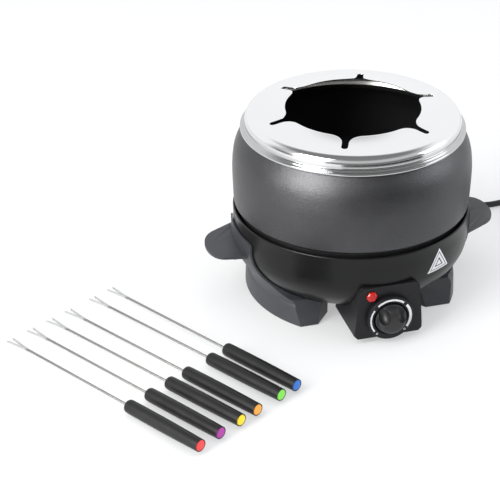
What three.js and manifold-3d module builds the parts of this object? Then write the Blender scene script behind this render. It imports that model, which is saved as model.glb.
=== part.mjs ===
// Electric fondue set: heated base, lift-out pot, fork ring, colour-capped forks and mains lead.
// Millimetres, +Z up. The control knob faces -Y and the two carrying handles point along X.
// The origin lies on the table, below the middle of the set without its lead. Every function
// below works in the base's own frame, whose Z axis is the axis of the pot; POT_AXIS places it.
import * as THREE from 'three';
import { mergeVertices } from 'three/addons/utils/BufferGeometryUtils.js';
import Module from 'manifold-3d';

const wasm = await Module();
wasm.setup();

// ---------------------------------------------------------------- driving dimensions
const POT_AXIS = new THREE.Vector3(93.2, 53.2, 0);
const GAP = 0.3; // clearance between pieces that touch
const ROUND = 36; // facets on the large turned shapes
const SMALL_ROUND = 12; // facets on bosses, screws and pins

const RING_TOP = 174.3;
const RING_BOTTOM = 157.8;
const RING_RADIUS = 100;
const SHEET = 1.0; // pressed steel of the ring
const MOUTH_RADIUS = 60;
const MOUTH_RISE = 3.2; // of the mouth's edge above the flat of the ring
const NOTCH_WIDTH = 5.8;
const NOTCH_REACH = 79; // from the pot's axis to the round end of a notch
const NOTCH_COUNT = 6;
const SHOULDER = 0.25; // angle between a notch's middle and the start of its rounded shoulder
const SHOULDER_LENGTH = 9; // of the shoulder along the notch
const FIRST_NOTCH = THREE.MathUtils.degToRad(6);

const RIM_TOP = 159.7;
const POT_FLOOR = 60;
const BOWL_TOP = 84;
const BOWL_RADIUS = 107;
const BOWL_WALL = 1.8;
const BOWL_FLOOR = 14.6;

const HANDLE_TOP = 57;
const HANDLE_THICK = 2.6;
const HANDLE_REACH = 136.3;
const MOULDING_WALL = 1.5;
const MOULDING_GAP = 0.5;
const FLANGE_TOP = 71.8;
const FLANGE_HALF = 33;
const FOOT_ARC = 106; // radius of the foot's outer wall
const FOOT_CENTRE = [-11, -4]; // and its centre, for the right-hand foot
const FOOT_INNER = 62;
const FOOT_BOTTOM = 0.6;
const FOOT_HALF = 67.5; // half the foot's length along Y at the table
const FOOT_TOP_HALF = 60; // and at the top of its slanted end faces
const FOOT_TOP = 24;
const PAD_RADIUS = 5;
const PAD_TOP = 1.5;
const PAD_REACH = 84;
const PAD_ANGLE = THREE.MathUtils.degToRad(42);
const BOSS_Y = 11;
const BOSS_Z = 49.5;

const BOX_FRONT = -108.5;
const BOX_BACK = -56;
const BOX_BOTTOM = 5.5;
const BOX_TOP = 56;
const BOX_HALF_BOTTOM = 31.5;
const BOX_HALF_TOP = 27.5;
const BOX_WALL = 2;
const DIAL_Z = 25.5;
const DIAL_RADIUS = 21;
const DIAL_RISE = 4.8; // of the dial ring in front of the box
const RECESS_RADIUS = 15.5;
const RECESS_DEPTH = 8;
const KNOB_RADIUS = 14.2;
const KNOB_LENGTH = 17.5;
const SHAFT_RADIUS = 3;
const LAMP_X = -16.5;
const LAMP_Z = 47.5;

const PLATE_TOP = 59.7;
const PLATE_BOTTOM = 52;
const PLATE_RADIUS = 72;
const ELEMENT_RADIUS = 52;
const ELEMENT_TUBE = 3.5;
const ELEMENT_GAP = THREE.MathUtils.degToRad(15); // either side of the front
const REFLECTOR_Z = 37;
const COVER_TOP = 14.2;
const COVER_THICK = 2;
const COVER_RADIUS = 58;
const COVER_SCREW_REACH = 54;
const COVER_SCREW_ANGLES = [30, 150, 270].map(THREE.MathUtils.degToRad);

const CORD_RADIUS = 3;
const GLAND_ANGLE = THREE.MathUtils.degToRad(60);
const GLAND_Z = 40;
const GLAND_END = 135.6; // from the pot's axis
const COIL_CENTRE = new THREE.Vector2(250, 58);
const COIL_TURNS = [30, 36]; // radii of its turns
const COIL_LAYERS = 3;
const COIL_LIFT = 0.9; // it lies on its tie
const TIE_ANGLE = THREE.MathUtils.degToRad(200);
const PLUG_X = 291;
const PLUG_Z = 11.2;
const PLUG_FACE_Y = -52; // where the pins start
const PLUG_HEAD = 26; // length of its head along Y
const PIN_SPACING = 19;

const FORK_ROW = new THREE.Vector2(-198, -223.3); // cap of the first fork
const ROW_ANGLE = THREE.MathUtils.degToRad(31);
const FORK_ANGLE = THREE.MathUtils.degToRad(120.4);
const FORK_LENGTH = 241;
const GRIP_LENGTH = 85.5;
const GRIP_RADIUS = 6;
const TIP_HEIGHT = 0.9; // of the tines' middle above the table
const SHANK_RADIUS = 1.25;
const HEAD_LENGTH = 27;
const HEAD_THICK = 1.3;
const TINE_SPREAD = 3.65; // from the shank's line to the outside of a tine's tip
const TINE_LENGTH = 19.5;
const TINE_WIDTH = 1.15;
const CAP_DEPTH = 5;
const FORKS = [
  { colour: 'red', paint: 0xe0322c, along: 0, turn: 0 },
  { colour: 'purple', paint: 0xa03a96, along: 22.9, turn: 0 },
  { colour: 'yellow', paint: 0xe8c81e, along: 46.4, turn: 0.3 },
  { colour: 'orange', paint: 0xf0922a, along: 65.9, turn: -0.2 },
  { colour: 'green', paint: 0x6cc43c, along: 94.4, turn: -0.4 },
  { colour: 'blue', paint: 0x2468c8, along: 113.3, turn: -1.2 },
];

// ---------------------------------------------------------------- solids and booleans
function signedVolume(geometry) {
  const place = geometry.getAttribute('position');
  const index = geometry.getIndex().array;
  const corner = [new THREE.Vector3(), new THREE.Vector3(), new THREE.Vector3()];
  let volume = 0;
  for (let i = 0; i < index.length; i += 3) {
    corner.forEach((point, k) => point.fromBufferAttribute(place, index[i + k]));
    volume += corner[0].dot(corner[1].clone().cross(corner[2])) / 6;
  }
  return volume;
}

// Shared corners merged, collapsed triangles dropped, faces turned outwards.
function closed(geometry) {
  const bare = new THREE.BufferGeometry();
  bare.setAttribute('position', geometry.getAttribute('position'));
  bare.setIndex(geometry.getIndex());
  const merged = mergeVertices(bare, 1e-4);
  const kept = [];
  const index = merged.getIndex().array;
  for (let i = 0; i < index.length; i += 3) {
    const [a, b, c] = [index[i], index[i + 1], index[i + 2]];
    if (a !== b && b !== c && c !== a) kept.push(a, b, c);
  }
  merged.setIndex(kept);
  if (signedVolume(merged) < 0) {
    const flipped = [];
    for (let i = 0; i < kept.length; i += 3) flipped.push(kept[i], kept[i + 2], kept[i + 1]);
    merged.setIndex(flipped);
  }
  return merged;
}

function toManifold(geometry) {
  const solid = closed(geometry);
  return new wasm.Manifold(new wasm.Mesh({
    numProp: 3,
    vertProperties: new Float32Array(solid.getAttribute('position').array),
    triVerts: new Uint32Array(solid.getIndex().array),
  }));
}

function fromManifold(manifold) {
  const mesh = manifold.getMesh();
  const geometry = new THREE.BufferGeometry();
  geometry.setAttribute('position', new THREE.BufferAttribute(mesh.vertProperties, 3));
  geometry.setIndex(Array.from(mesh.triVerts));
  return geometry;
}

const combine = (operation) => (first, ...others) => fromManifold(
  others.reduce((sum, next) => sum[operation](toManifold(next)), toManifold(first)),
);
const join = combine('add');
const cut = combine('subtract');
const common = combine('intersect');

// ---------------------------------------------------------------- basic shapes
// Turns a profile of [radius, height] pairs about Z.
function turned(profile, facets = ROUND) {
  const points = profile.map(([radius, height]) => new THREE.Vector2(radius, height));
  return closed(new THREE.LatheGeometry(points, facets).rotateX(Math.PI / 2));
}

const ring = (profile, facets) => turned([...profile, profile[0]], facets);

function rod(radius, low, high, facets = SMALL_ROUND) {
  return turned([[0, low], [radius, low], [radius, high], [0, high]], facets);
}

const facingFront = (geometry) => geometry.rotateX(Math.PI / 2); // +Z to -Y, +Y to +Z
const facingRight = (geometry) => geometry.rotateY(Math.PI / 2); // +Z to +X

function block(low, high) {
  const size = high.map((value, axis) => value - low[axis]);
  const middle = high.map((value, axis) => (value + low[axis]) / 2);
  return new THREE.BoxGeometry(...size).translate(...middle);
}

// A flat outline in X and Y, raised from low to high.
function slab(shape, low, high, curveSegments = 6) {
  const options = { depth: high - low, bevelEnabled: false, curveSegments };
  return closed(new THREE.ExtrudeGeometry(shape, options).translate(0, 0, low));
}

function circleShape(radius, sides) {
  const shape = new THREE.Shape();
  for (let i = 0; i <= sides; i += 1) {
    const angle = (2 * Math.PI * i) / sides;
    const point = [radius * Math.cos(angle), radius * Math.sin(angle)];
    if (i === 0) shape.moveTo(...point);
    else shape.lineTo(...point);
  }
  return shape;
}

function tube(points, radius, steps, sides = 8) {
  const path = new THREE.CatmullRomCurve3(points.map((point) => new THREE.Vector3(...point)));
  path.curveType = 'centripetal';
  const options = { steps, bevelEnabled: false, extrudePath: path };
  return closed(new THREE.ExtrudeGeometry(circleShape(radius, sides), options));
}

const atAngle = (radius, angle) => [radius * Math.cos(angle), radius * Math.sin(angle)];

// ---------------------------------------------------------------- pot and ring
const POT_OUTSIDE = [
  [84, POT_FLOOR], [92.5, 63.2], [98, 70], [102, 80], [103, 87.6], [106.2, 89.3], [107.2, 113],
  [107.2, 127], [105.7, 139.5], [102.8, 148], [97.4, 157.4], [97.4, RIM_TOP],
];
const POT_INSIDE = [
  [96.6, RIM_TOP], [95.2, 156.4], [101, 146.8], [105.1, 127], [105, 97], [100.9, 86],
  [96.2, 71], [91.4, 65.1], [84, 62.2],
];

const pot = () => turned([[0, POT_FLOOR], ...POT_OUTSIDE, ...POT_INSIDE, [0, 62.2]]);

// The ring's mouth: a circle with six slots, each running into it through rounded shoulders.
function mouthShape() {
  const shape = new THREE.Shape();
  const half = NOTCH_WIDTH / 2;
  const endCentre = NOTCH_REACH - half;
  // Where the circle's tangent at the shoulder's start meets the side of the notch.
  const bend = (MOUTH_RADIUS - half * Math.sin(SHOULDER)) / Math.cos(SHOULDER);
  const shoulderEnd = bend + SHOULDER_LENGTH;
  for (let i = 0; i < NOTCH_COUNT; i += 1) {
    const notch = FIRST_NOTCH + (i * 2 * Math.PI) / NOTCH_COUNT;
    // A point at a distance along the notch's middle line and to its side.
    const along = (distance, side) => [
      distance * Math.cos(notch) - side * Math.sin(notch),
      distance * Math.sin(notch) + side * Math.cos(notch),
    ];
    const start = atAngle(MOUTH_RADIUS, notch - SHOULDER);
    if (i === 0) shape.moveTo(...start);
    else shape.lineTo(...start);
    shape.quadraticCurveTo(...along(bend, -half), ...along(shoulderEnd, -half));
    shape.lineTo(...along(endCentre, -half));
    const end = along(endCentre, 0);
    shape.absarc(...end, half, notch - Math.PI / 2, notch + Math.PI / 2, false);
    shape.lineTo(...along(shoulderEnd, half));
    shape.quadraticCurveTo(...along(bend, half), ...atAngle(MOUTH_RADIUS, notch + SHOULDER));
    const next = notch + (2 * Math.PI) / NOTCH_COUNT - SHOULDER;
    shape.absarc(0, 0, MOUTH_RADIUS, notch + SHOULDER, next, false);
  }
  return shape;
}

function forkRing() {
  const crown = RING_TOP + MOUTH_RISE; // the sheet rises gently towards the mouth
  const sheet = ring([
    [54, crown + 1.2 - SHEET], [MOUTH_RADIUS, crown - SHEET], [79, RING_TOP - SHEET],
    [88.4, 173.6 - SHEET], [92.4, 171.5], [94.9, 168.2], [95.4, 163.2], [98.4, 161.6],
    [99, RING_BOTTOM], [RING_RADIUS, RING_BOTTOM], [RING_RADIUS, 161.4], [96.6, 163.6],
    [95.9, 168.8], [93, 172.5], [88.6, 173.6], [79, RING_TOP], [MOUTH_RADIUS, crown],
    [54, crown + 1.2],
  ]);
  return cut(sheet, slab(mouthShape(), RING_TOP - 8, RING_TOP + 12, 4));
}

// ---------------------------------------------------------------- base bowl and what it holds
const BOWL_OUTSIDE = [
  [66, BOWL_FLOOR], [77, 20], [86.3, 26], [93.4, 32], [100.5, 40], [105.4, 50], [BOWL_RADIUS, 60],
  [BOWL_RADIUS, BOWL_TOP - 1.4], [106.2, BOWL_TOP],
];

// The bowl's outer surface moved out by a distance, closed up to the axis.
function bowlBlank(distance) {
  const grown = BOWL_OUTSIDE.map(([radius, height], i) => {
    const next = BOWL_OUTSIDE[Math.min(i + 1, BOWL_OUTSIDE.length - 1)];
    const last = BOWL_OUTSIDE[Math.max(i - 1, 0)];
    const slope = new THREE.Vector2(next[0] - last[0], next[1] - last[1]).normalize();
    return [radius + slope.y * distance, height - slope.x * distance];
  });
  const top = grown[grown.length - 1];
  return turned([[0, grown[0][1]], ...grown, [0, top[1]]]);
}

function baseBowl() {
  const inside = [
    [104.6, BOWL_TOP], [105.2, BOWL_TOP - 2], [105.2, 60.3], [103.6, 50.6], [99, 41], [85.2, 27.6],
    [65.4, BOWL_FLOOR + BOWL_WALL],
  ];
  const shell = ring([[50, BOWL_FLOOR], ...BOWL_OUTSIDE, ...inside, [50, BOWL_FLOOR + BOWL_WALL]]);
  const controls = block([-23, -115, 5], [23, -72, 53]);
  const gland = facingRight(rod(5.2, 80, 112)).rotateZ(GLAND_ANGLE).translate(0, 0, GLAND_Z);
  const screws = [];
  for (const side of [-1, 1]) {
    for (const end of [-1, 1]) {
      screws.push(facingRight(rod(1.9, 90, 112, 8)).scale(side, 1, 1).translate(0, end * BOSS_Y, BOSS_Z));
    }
  }
  for (const angle of COVER_SCREW_ANGLES) {
    screws.push(rod(1.9, 10, 20, 8).translate(...atAngle(COVER_SCREW_REACH, angle), 0));
  }
  return cut(shell, controls, gland, ...screws);
}

function heatingPlate() {
  const disc = turned([
    [0, 48], [8, 48], [9, PLATE_BOTTOM], [PLATE_RADIUS - 2, PLATE_BOTTOM], [PLATE_RADIUS, 54],
    [PLATE_RADIUS, 58.2], [PLATE_RADIUS - 1.5, PLATE_TOP], [0, PLATE_TOP],
  ]);
  return cut(disc, rod(3.2, 45, 55));
}

function heatingElement() {
  const points = [];
  const start = -Math.PI / 2 + ELEMENT_GAP;
  const sweep = 2 * Math.PI - 2 * ELEMENT_GAP;
  const height = PLATE_BOTTOM - 1.2 - ELEMENT_TUBE;
  points.push([...atAngle(ELEMENT_RADIUS, start), 28], [...atAngle(ELEMENT_RADIUS, start), 40]);
  for (let i = 0; i <= 12; i += 1) {
    points.push([...atAngle(ELEMENT_RADIUS, start + ((i + 0.4) * sweep) / 12.8), height]);
  }
  points.push([...atAngle(ELEMENT_RADIUS, start + sweep), 40]);
  points.push([...atAngle(ELEMENT_RADIUS, start + sweep), 28]);
  return tube(points, ELEMENT_TUBE, 30, 6);
}

function heatReflector() {
  const dish = ring([
    [8.6, REFLECTOR_Z], [77, REFLECTOR_Z], [80, 40.5], [79, 41.4], [76.4, REFLECTOR_Z + 1],
    [8.6, REFLECTOR_Z + 1],
  ], 32);
  const holes = [-1, 1].map((side) => {
    const angle = -Math.PI / 2 + side * ELEMENT_GAP;
    return rod(5.5, 30, 45, 10).translate(...atAngle(ELEMENT_RADIUS, angle), 0);
  });
  return cut(dish, ...holes);
}

const platePost = () => ring([
  [3.3, COVER_TOP + GAP], [11, COVER_TOP + GAP], [11, 17], [8, 19], [8, 33], [10.5, 34.5],
  [10.5, REFLECTOR_Z - GAP], [8, REFLECTOR_Z - GAP], [8, 48 - GAP], [3.3, 48 - GAP],
], SMALL_ROUND);

function baseCover() {
  const low = COVER_TOP - COVER_THICK;
  const disc = turned([
    [0, low], [COVER_RADIUS - 1, low], [COVER_RADIUS, low + 1], [COVER_RADIUS, COVER_TOP],
    [0, COVER_TOP],
  ], 36);
  const holes = COVER_SCREW_ANGLES.map((angle) => (
    rod(1.9, 0, 20, 8).translate(...atAngle(COVER_SCREW_REACH, angle), 0)
  ));
  const vents = [];
  for (let i = 0; i < 6; i += 1) {
    vents.push(block([22, -2.2, 0], [42, 2.2, 20]).rotateZ((i * Math.PI) / 3));
  }
  return cut(disc, rod(3.3, 0, 20), ...holes, ...vents);
}

// A pan-head screw pointing along +Z, its head below the given seat.
const screw = (shank, head, seat, end, headHeight = 2) => turned([
  [0, seat - headHeight], [head * 0.7, seat - headHeight], [head, seat - headHeight / 2],
  [head, seat], [shank, seat], [shank, end], [0, end],
], 8);

const coverScrew = (angle) => screw(1.5, 3, COVER_TOP - COVER_THICK - GAP, 21, 1.8)
  .translate(...atAngle(COVER_SCREW_REACH, angle), 0);

const centreBolt = () => screw(2.9, 5.5, COVER_TOP - COVER_THICK - GAP, 54, 3);

// ---------------------------------------------------------------- side mouldings
// The foot's outline in plan: an arc outside and inside, straight ends and slanted inner corners.
function footPlan() {
  const shape = new THREE.Shape();
  const innerEnd = Math.atan2(50, 37);
  const [x, y] = FOOT_CENTRE;
  const frontEnd = -Math.asin((FOOT_HALF + y) / FOOT_ARC);
  const rearEnd = Math.asin((FOOT_HALF - y) / FOOT_ARC);
  shape.absarc(0, 0, FOOT_INNER, innerEnd, -innerEnd, true);
  shape.lineTo(51.5, -FOOT_HALF);
  shape.absarc(x, y, FOOT_ARC, frontEnd, rearEnd, false);
  shape.lineTo(51.5, FOOT_HALF);
  shape.lineTo(...atAngle(FOOT_INNER, innerEnd));
  return shape;
}

// The foot, hollow underneath between its two solid ends.
function foot() {
  const drafted = turned([
    [0, 0], [FOOT_ARC, 0], [FOOT_ARC - 0.8, 20], [FOOT_ARC - 7, 28], [0, 28],
  ], 64).translate(...FOOT_CENTRE, 0);
  const hollow = new THREE.Shape();
  hollow.absarc(0, 0, 65, 0.55, -0.55, true);
  hollow.absarc(0, 0, 90.5, -0.55, 0.55, false);
  const room = cut(slab(hollow, -1, 22), bowlBlank(MOULDING_GAP + 2));
  const pads = [-1, 1].map((end) => (
    rod(PAD_RADIUS + GAP, 0, PAD_TOP + GAP).translate(...padPlace(end), 0)
  ));
  return cut(common(slab(footPlan(), FOOT_BOTTOM, FOOT_TOP + 3), drafted), room, ...pads);
}

// The whole moulding on the +X side: a wall that follows the bowl, the handle plate and the foot.
function sideMoulding() {
  const inner = BOWL_RADIUS + MOULDING_GAP;
  const outer = inner + MOULDING_WALL;
  const wall = ring([
    [85, 22], [93.4, 20], [94.2, FOOT_TOP], [98.8, 33.8], [104.6, 42], [107.8, 50],
    [outer, 59], [outer, FLANGE_TOP + 1], [inner - 2, FLANGE_TOP + 1], [inner - 2, 59],
    [99, 40], [85, 26],
  ], 44);
  const outline = new THREE.Shape();
  outline.moveTo(-FOOT_HALF, 0);
  outline.lineTo(-FOOT_TOP_HALF, FOOT_TOP);
  outline.bezierCurveTo(-48, 27, -38, 44, -FLANGE_HALF, 58);
  outline.lineTo(-FLANGE_HALF, FLANGE_TOP - 6);
  outline.quadraticCurveTo(-FLANGE_HALF, FLANGE_TOP, -FLANGE_HALF + 7, FLANGE_TOP);
  outline.lineTo(FLANGE_HALF - 7, FLANGE_TOP);
  outline.quadraticCurveTo(FLANGE_HALF, FLANGE_TOP, FLANGE_HALF, FLANGE_TOP - 6);
  outline.lineTo(FLANGE_HALF, 58);
  outline.bezierCurveTo(38, 44, 48, 27, FOOT_TOP_HALF, FOOT_TOP);
  outline.lineTo(FOOT_HALF, 0);
  // The outline is drawn in Y and Z and swept along X.
  const sweep = slab(outline, 30, 140, 4).rotateX(Math.PI / 2).rotateZ(Math.PI / 2);

  // The front edge of the right-hand handle slants, its rear edge runs almost straight out.
  const wing = new THREE.Shape();
  wing.moveTo(100, -39.5);
  wing.lineTo(123, -27);
  wing.bezierCurveTo(132, -22, HANDLE_REACH, -11, HANDLE_REACH, 0);
  wing.bezierCurveTo(HANDLE_REACH, 12, 132, 21.5, 124, 23.2);
  wing.lineTo(100, 28);
  const plate = slab(wing, HANDLE_TOP - HANDLE_THICK, HANDLE_TOP, 5);
  const bosses = [-1, 1].map((end) => (
    facingRight(rod(3.2, 100, 113.5)).translate(0, end * BOSS_Y, BOSS_Z)
  ));
  const pilots = [-1, 1].map((end) => (
    facingRight(rod(1.8, 90, 112, 8)).translate(0, end * BOSS_Y, BOSS_Z)
  ));
  const body = join(common(join(wall, foot()), sweep), plate, ...bosses);
  return cut(body, bowlBlank(MOULDING_GAP), ...pilots);
}

const padPlace = (end) => atAngle(PAD_REACH, end * PAD_ANGLE);

const footPad = (side, end) => {
  const [x, y] = padPlace(end);
  return rod(PAD_RADIUS, 0, PAD_TOP).translate(side * x, y, 0);
};

const mouldingScrew = (side, end) => closed(
  facingRight(screw(1.5, 3.2, 100, 111)).scale(side, 1, 1).translate(0, end * BOSS_Y, BOSS_Z),
);

// ---------------------------------------------------------------- control box
// The box's outer block, shrunk on every side by an inset. Its corners are rounded in plan.
function boxBlock(inset) {
  const low = BOX_BOTTOM + inset;
  const high = BOX_TOP - inset;
  const wide = BOX_HALF_BOTTOM - inset;
  const narrow = BOX_HALF_TOP - inset;
  const corner = 3.5;
  const face = new THREE.Shape();
  face.moveTo(-wide + corner, low);
  face.lineTo(wide - corner, low);
  face.quadraticCurveTo(wide, low, wide, low + corner);
  face.lineTo(narrow, high - corner);
  face.quadraticCurveTo(narrow, high, narrow - corner, high);
  face.lineTo(-narrow + corner, high);
  face.quadraticCurveTo(-narrow, high, -narrow, high - corner);
  face.lineTo(-wide, low + corner);
  face.quadraticCurveTo(-wide, low, -wide + corner, low);
  const front = facingFront(slab(face, -BOX_BACK - 20, 130, 3));
  const plan = new THREE.Shape();
  const side = wide + 0.05;
  plan.moveTo(-side, BOX_BACK - inset);
  plan.lineTo(-side, BOX_FRONT + inset + 10);
  plan.quadraticCurveTo(-side, BOX_FRONT + inset, -side + 6, BOX_FRONT + inset);
  plan.lineTo(side - 6, BOX_FRONT + inset);
  plan.quadraticCurveTo(side, BOX_FRONT + inset, side, BOX_FRONT + inset + 10);
  plan.lineTo(side, BOX_BACK - inset);
  return common(front, slab(plan, 0, 80, 4));
}

function controlHousing() {
  const backWall = COVER_RADIUS + 3.5;
  const solid = cut(boxBlock(0), cut(boxBlock(BOX_WALL), rod(backWall, 0, 70, ROUND)));
  const dialHole = facingFront(rod(RECESS_RADIUS + 1.8, 100, 112, 32)).translate(0, 0, DIAL_Z);
  const lampHole = facingFront(rod(4.9, 100, 112)).translate(LAMP_X, 0, LAMP_Z);
  const coverRoom = rod(backWall - BOX_WALL, 0, 20, ROUND);
  return cut(solid, bowlBlank(0.4), coverRoom, dialHole, lampHole);
}

function dialBezel() {
  const face = -BOX_FRONT + GAP;
  const front = -BOX_FRONT + DIAL_RISE;
  const floor = front - RECESS_DEPTH;
  const cup = ring([
    [SHAFT_RADIUS + 0.5, floor - 1.4], [RECESS_RADIUS + 1.4, floor - 1.4],
    [RECESS_RADIUS + 1.4, face], [DIAL_RADIUS, face], [DIAL_RADIUS, front - 0.7],
    [DIAL_RADIUS - 0.7, front], [RECESS_RADIUS, front], [RECESS_RADIUS, floor],
    [SHAFT_RADIUS + 0.5, floor],
  ], 28);
  return facingFront(cup).translate(0, 0, DIAL_Z);
}

// A domed knob with a finger scoop either side of an upright ridge.
function controlKnob() {
  const back = -BOX_FRONT + DIAL_RISE - RECESS_DEPTH + GAP + 0.2;
  const dome = turned([
    [0, 0], [KNOB_RADIUS, 0], [KNOB_RADIUS, 9.5], [13.4, 12], [11.6, 14.6], [8.4, 16.6],
    [0, KNOB_LENGTH],
  ], 24);
  const scoops = [-1, 1].map((side) => (
    new THREE.SphereGeometry(8.5, 12, 8).translate(side * 11.4, 6.6, KNOB_LENGTH - 0.5)
  ));
  const bore = rod(SHAFT_RADIUS + GAP, -1, 10.5);
  return facingFront(cut(dome, ...scoops, bore).translate(0, 0, back)).translate(0, 0, DIAL_Z);
}

const thermostatShaft = () => facingFront(rod(SHAFT_RADIUS, 88, 113)).translate(0, 0, DIAL_Z);

function thermostatBody() {
  const casing = block([-12, -100.7, 13.5], [12, -83, 37.5]);
  const bushHole = facingFront(rod(SHAFT_RADIUS + 0.4, 86, 112)).translate(0, 0, DIAL_Z);
  return cut(casing, bushHole);
}

// A faceted lens: a hexagonal crown on a round neck.
function lampLens() {
  const face = -BOX_FRONT + GAP;
  const neck = rod(4.5, 103, face + 0.6);
  const crown = turned([[0, face], [5.3, face], [5.3, face + 0.9], [3.2, face + 2.6], [0, face + 2.6]], 6);
  return facingFront(join(neck, crown)).translate(LAMP_X, 0, LAMP_Z);
}

const lampHolder = () => facingFront(turned([
  [0, 86], [3.4, 86], [5.2, 89], [5.2, 102.7], [0, 102.7],
], 12)).translate(LAMP_X, 0, LAMP_Z);

// ---------------------------------------------------------------- wiring
const terminalBlock = () => block([20, 44, 19.5], [40, 56, 30]);

const liveWire = () => tube([
  [24, 43.5, 25], [22, 32, 24], [18, 8, 23], [14, -30, 23], [10, -62, 26], [8, -82.6, 27],
], 1.3, 14, 6);

const neutralWire = () => tube([
  [34, 43.5, 25], [38, 30, 24], [40, 0, 23], [32, -30, 23],
  [...atAngle(ELEMENT_RADIUS, -Math.PI / 2 + ELEMENT_GAP).map((value, i) => value + [0.5, 3][i]), 24.5],
], 1.3, 12, 6);

const switchedWire = () => tube([
  [-8, -82.6, 27], [-9, -70, 25.5],
  [...atAngle(ELEMENT_RADIUS, -Math.PI / 2 - ELEMENT_GAP).map((value, i) => value + [0, -3][i]), 24.5],
], 1.3, 8, 6);

// ---------------------------------------------------------------- mains lead
function cordGland() {
  const profile = turned([
    [0, 84], [6.5, 84], [6.5, 90.6], [4.9, 90.6], [4.9, 105.3], [7, 105.3], [7, 107.8],
    [6, 109], [4.5, GLAND_END - 0.6], [3.9, GLAND_END], [0, GLAND_END],
  ], 14);
  return facingRight(profile).rotateZ(GLAND_ANGLE).translate(0, 0, GLAND_Z);
}

// From the gland to the coil, chosen by hand: out, down to the table and round behind the handle.
const CORD_ROUTE = [
  [...atAngle(GLAND_END + GAP, GLAND_ANGLE), GLAND_Z], [72.5, 125.8, 39.6], [79.5, 134.6, 37],
  [90, 142, 31.6], [103, 144.6, 24.2], [116.5, 141.4, 16.4], [129.5, 133, 9.8], [141.5, 121.8, 5.1],
  [153, 109.6, 3.4], [163.5, 100.6, 3.1], [172, 96.2, 3.1], [181, 94.4, 3.1], [193, 95, 3.1],
  [206, 95.6, 3.3], [217, 94.9, 3.7], [226, 94.3, 3.9],
];

const powerCord = () => tube(CORD_ROUTE, CORD_RADIUS, 26);

function cordCoil() {
  const inner = COIL_TURNS[0] - CORD_RADIUS - 0.1;
  const outer = COIL_TURNS[1] + CORD_RADIUS + 0.1;
  const low = COIL_LIFT;
  const high = COIL_LIFT + 2 * COIL_LAYERS * CORD_RADIUS + 0.1;
  const bevel = 2;
  return ring([
    [inner + bevel, low], [outer - bevel, low], [outer, low + bevel], [outer, high - bevel],
    [outer - bevel, high], [inner + bevel, high], [inner, high - bevel], [inner, low + bevel],
  ], 24).translate(COIL_CENTRE.x, COIL_CENTRE.y, 0);
}

// A strap round the coil's section, drawn across the coil and placed at TIE_ANGLE.
function cordTie() {
  const inner = COIL_TURNS[0] - CORD_RADIUS - 1;
  const outer = COIL_TURNS[1] + CORD_RADIUS + 0.4;
  const low = COIL_LIFT - GAP;
  const high = COIL_LIFT + 2 * COIL_LAYERS * CORD_RADIUS + 0.4;
  const thick = 0.6;
  const width = 8;
  const hoop = cut(
    block([inner - thick, -width / 2, low - thick], [outer + thick, width / 2, high + thick]),
    block([inner, -width, low], [outer, width, high]),
  );
  return hoop.rotateZ(TIE_ANGLE).translate(COIL_CENTRE.x, COIL_CENTRE.y, 0);
}

// From the coil's outer turn down to the plug, chosen by hand.
const TAIL_ROUTE = [
  [286.2, 35.2, 15.7], [286.7, 26, 15], [287.8, 16, 13.7], [289.2, 6, 12.2], [290.3, -4.6, 11.3],
];

const cordTail = () => tube(TAIL_ROUTE, CORD_RADIUS, 4);

function plugBody() {
  const shape = new THREE.Shape();
  shape.moveTo(-17.5, 0);
  shape.bezierCurveTo(-17.5, 8, -12, 11, 0, 11);
  shape.bezierCurveTo(12, 11, 17.5, 8, 17.5, 0);
  shape.bezierCurveTo(17.5, -8, 12, -11, 0, -11);
  shape.bezierCurveTo(-12, -11, -17.5, -8, -17.5, 0);
  const head = facingFront(slab(shape, 0, PLUG_HEAD, 4));
  const neck = facingFront(turned([[0, -21], [4.2, -21], [6.4, -8], [9.5, 0.5], [0, 0.5]], 14));
  return join(head, neck).translate(PLUG_X, PLUG_FACE_Y + PLUG_HEAD, PLUG_Z);
}

const plugPin = (side) => facingFront(turned([
  [0, GAP], [2.4, GAP], [2.4, 18], [1.4, 19], [0, 19],
], 10)).translate(PLUG_X + (side * PIN_SPACING) / 2, PLUG_FACE_Y, PLUG_Z);

// ---------------------------------------------------------------- forks
// Each fork is drawn along +X from the middle of its cap, then laid on the table.
function forkShank() {
  const root = FORK_LENGTH - HEAD_LENGTH;
  const split = FORK_LENGTH - TINE_LENGTH;
  const wire = facingRight(rod(SHANK_RADIUS, GRIP_LENGTH - 40, root + 2, 6));
  const tip = [FORK_LENGTH, TINE_SPREAD - 0.4];
  const inside = [FORK_LENGTH - 1.5, TINE_SPREAD - TINE_WIDTH];
  const side = [[root, 1], [FORK_LENGTH - 1, TINE_SPREAD], tip, inside, [split, 0.1]];
  const outline = new THREE.Shape();
  side.forEach(([x, y], i) => (i === 0 ? outline.moveTo(x, y) : outline.lineTo(x, y)));
  side.toReversed().forEach(([x, y]) => outline.lineTo(x, -y));
  return join(wire, slab(outline, -HEAD_THICK / 2, HEAD_THICK / 2));
}

function forkGrip() {
  const bore = SHANK_RADIUS + GAP;
  const boreEnd = GRIP_LENGTH - 41;
  return facingRight(turned([
    [0, CAP_DEPTH + GAP], [4.9, CAP_DEPTH + GAP], [4.9, 0], [5.4, 0], [GRIP_RADIUS, 40],
    [5.9, GRIP_LENGTH - 3], [4.2, GRIP_LENGTH], [bore, GRIP_LENGTH], [bore, boreEnd], [0, boreEnd],
  ], 8));
}

const forkCap = () => facingRight(turned([
  [0, -0.4], [4, -0.4], [4.6, 0], [4.6, CAP_DEPTH], [0, CAP_DEPTH],
], 8));

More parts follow.
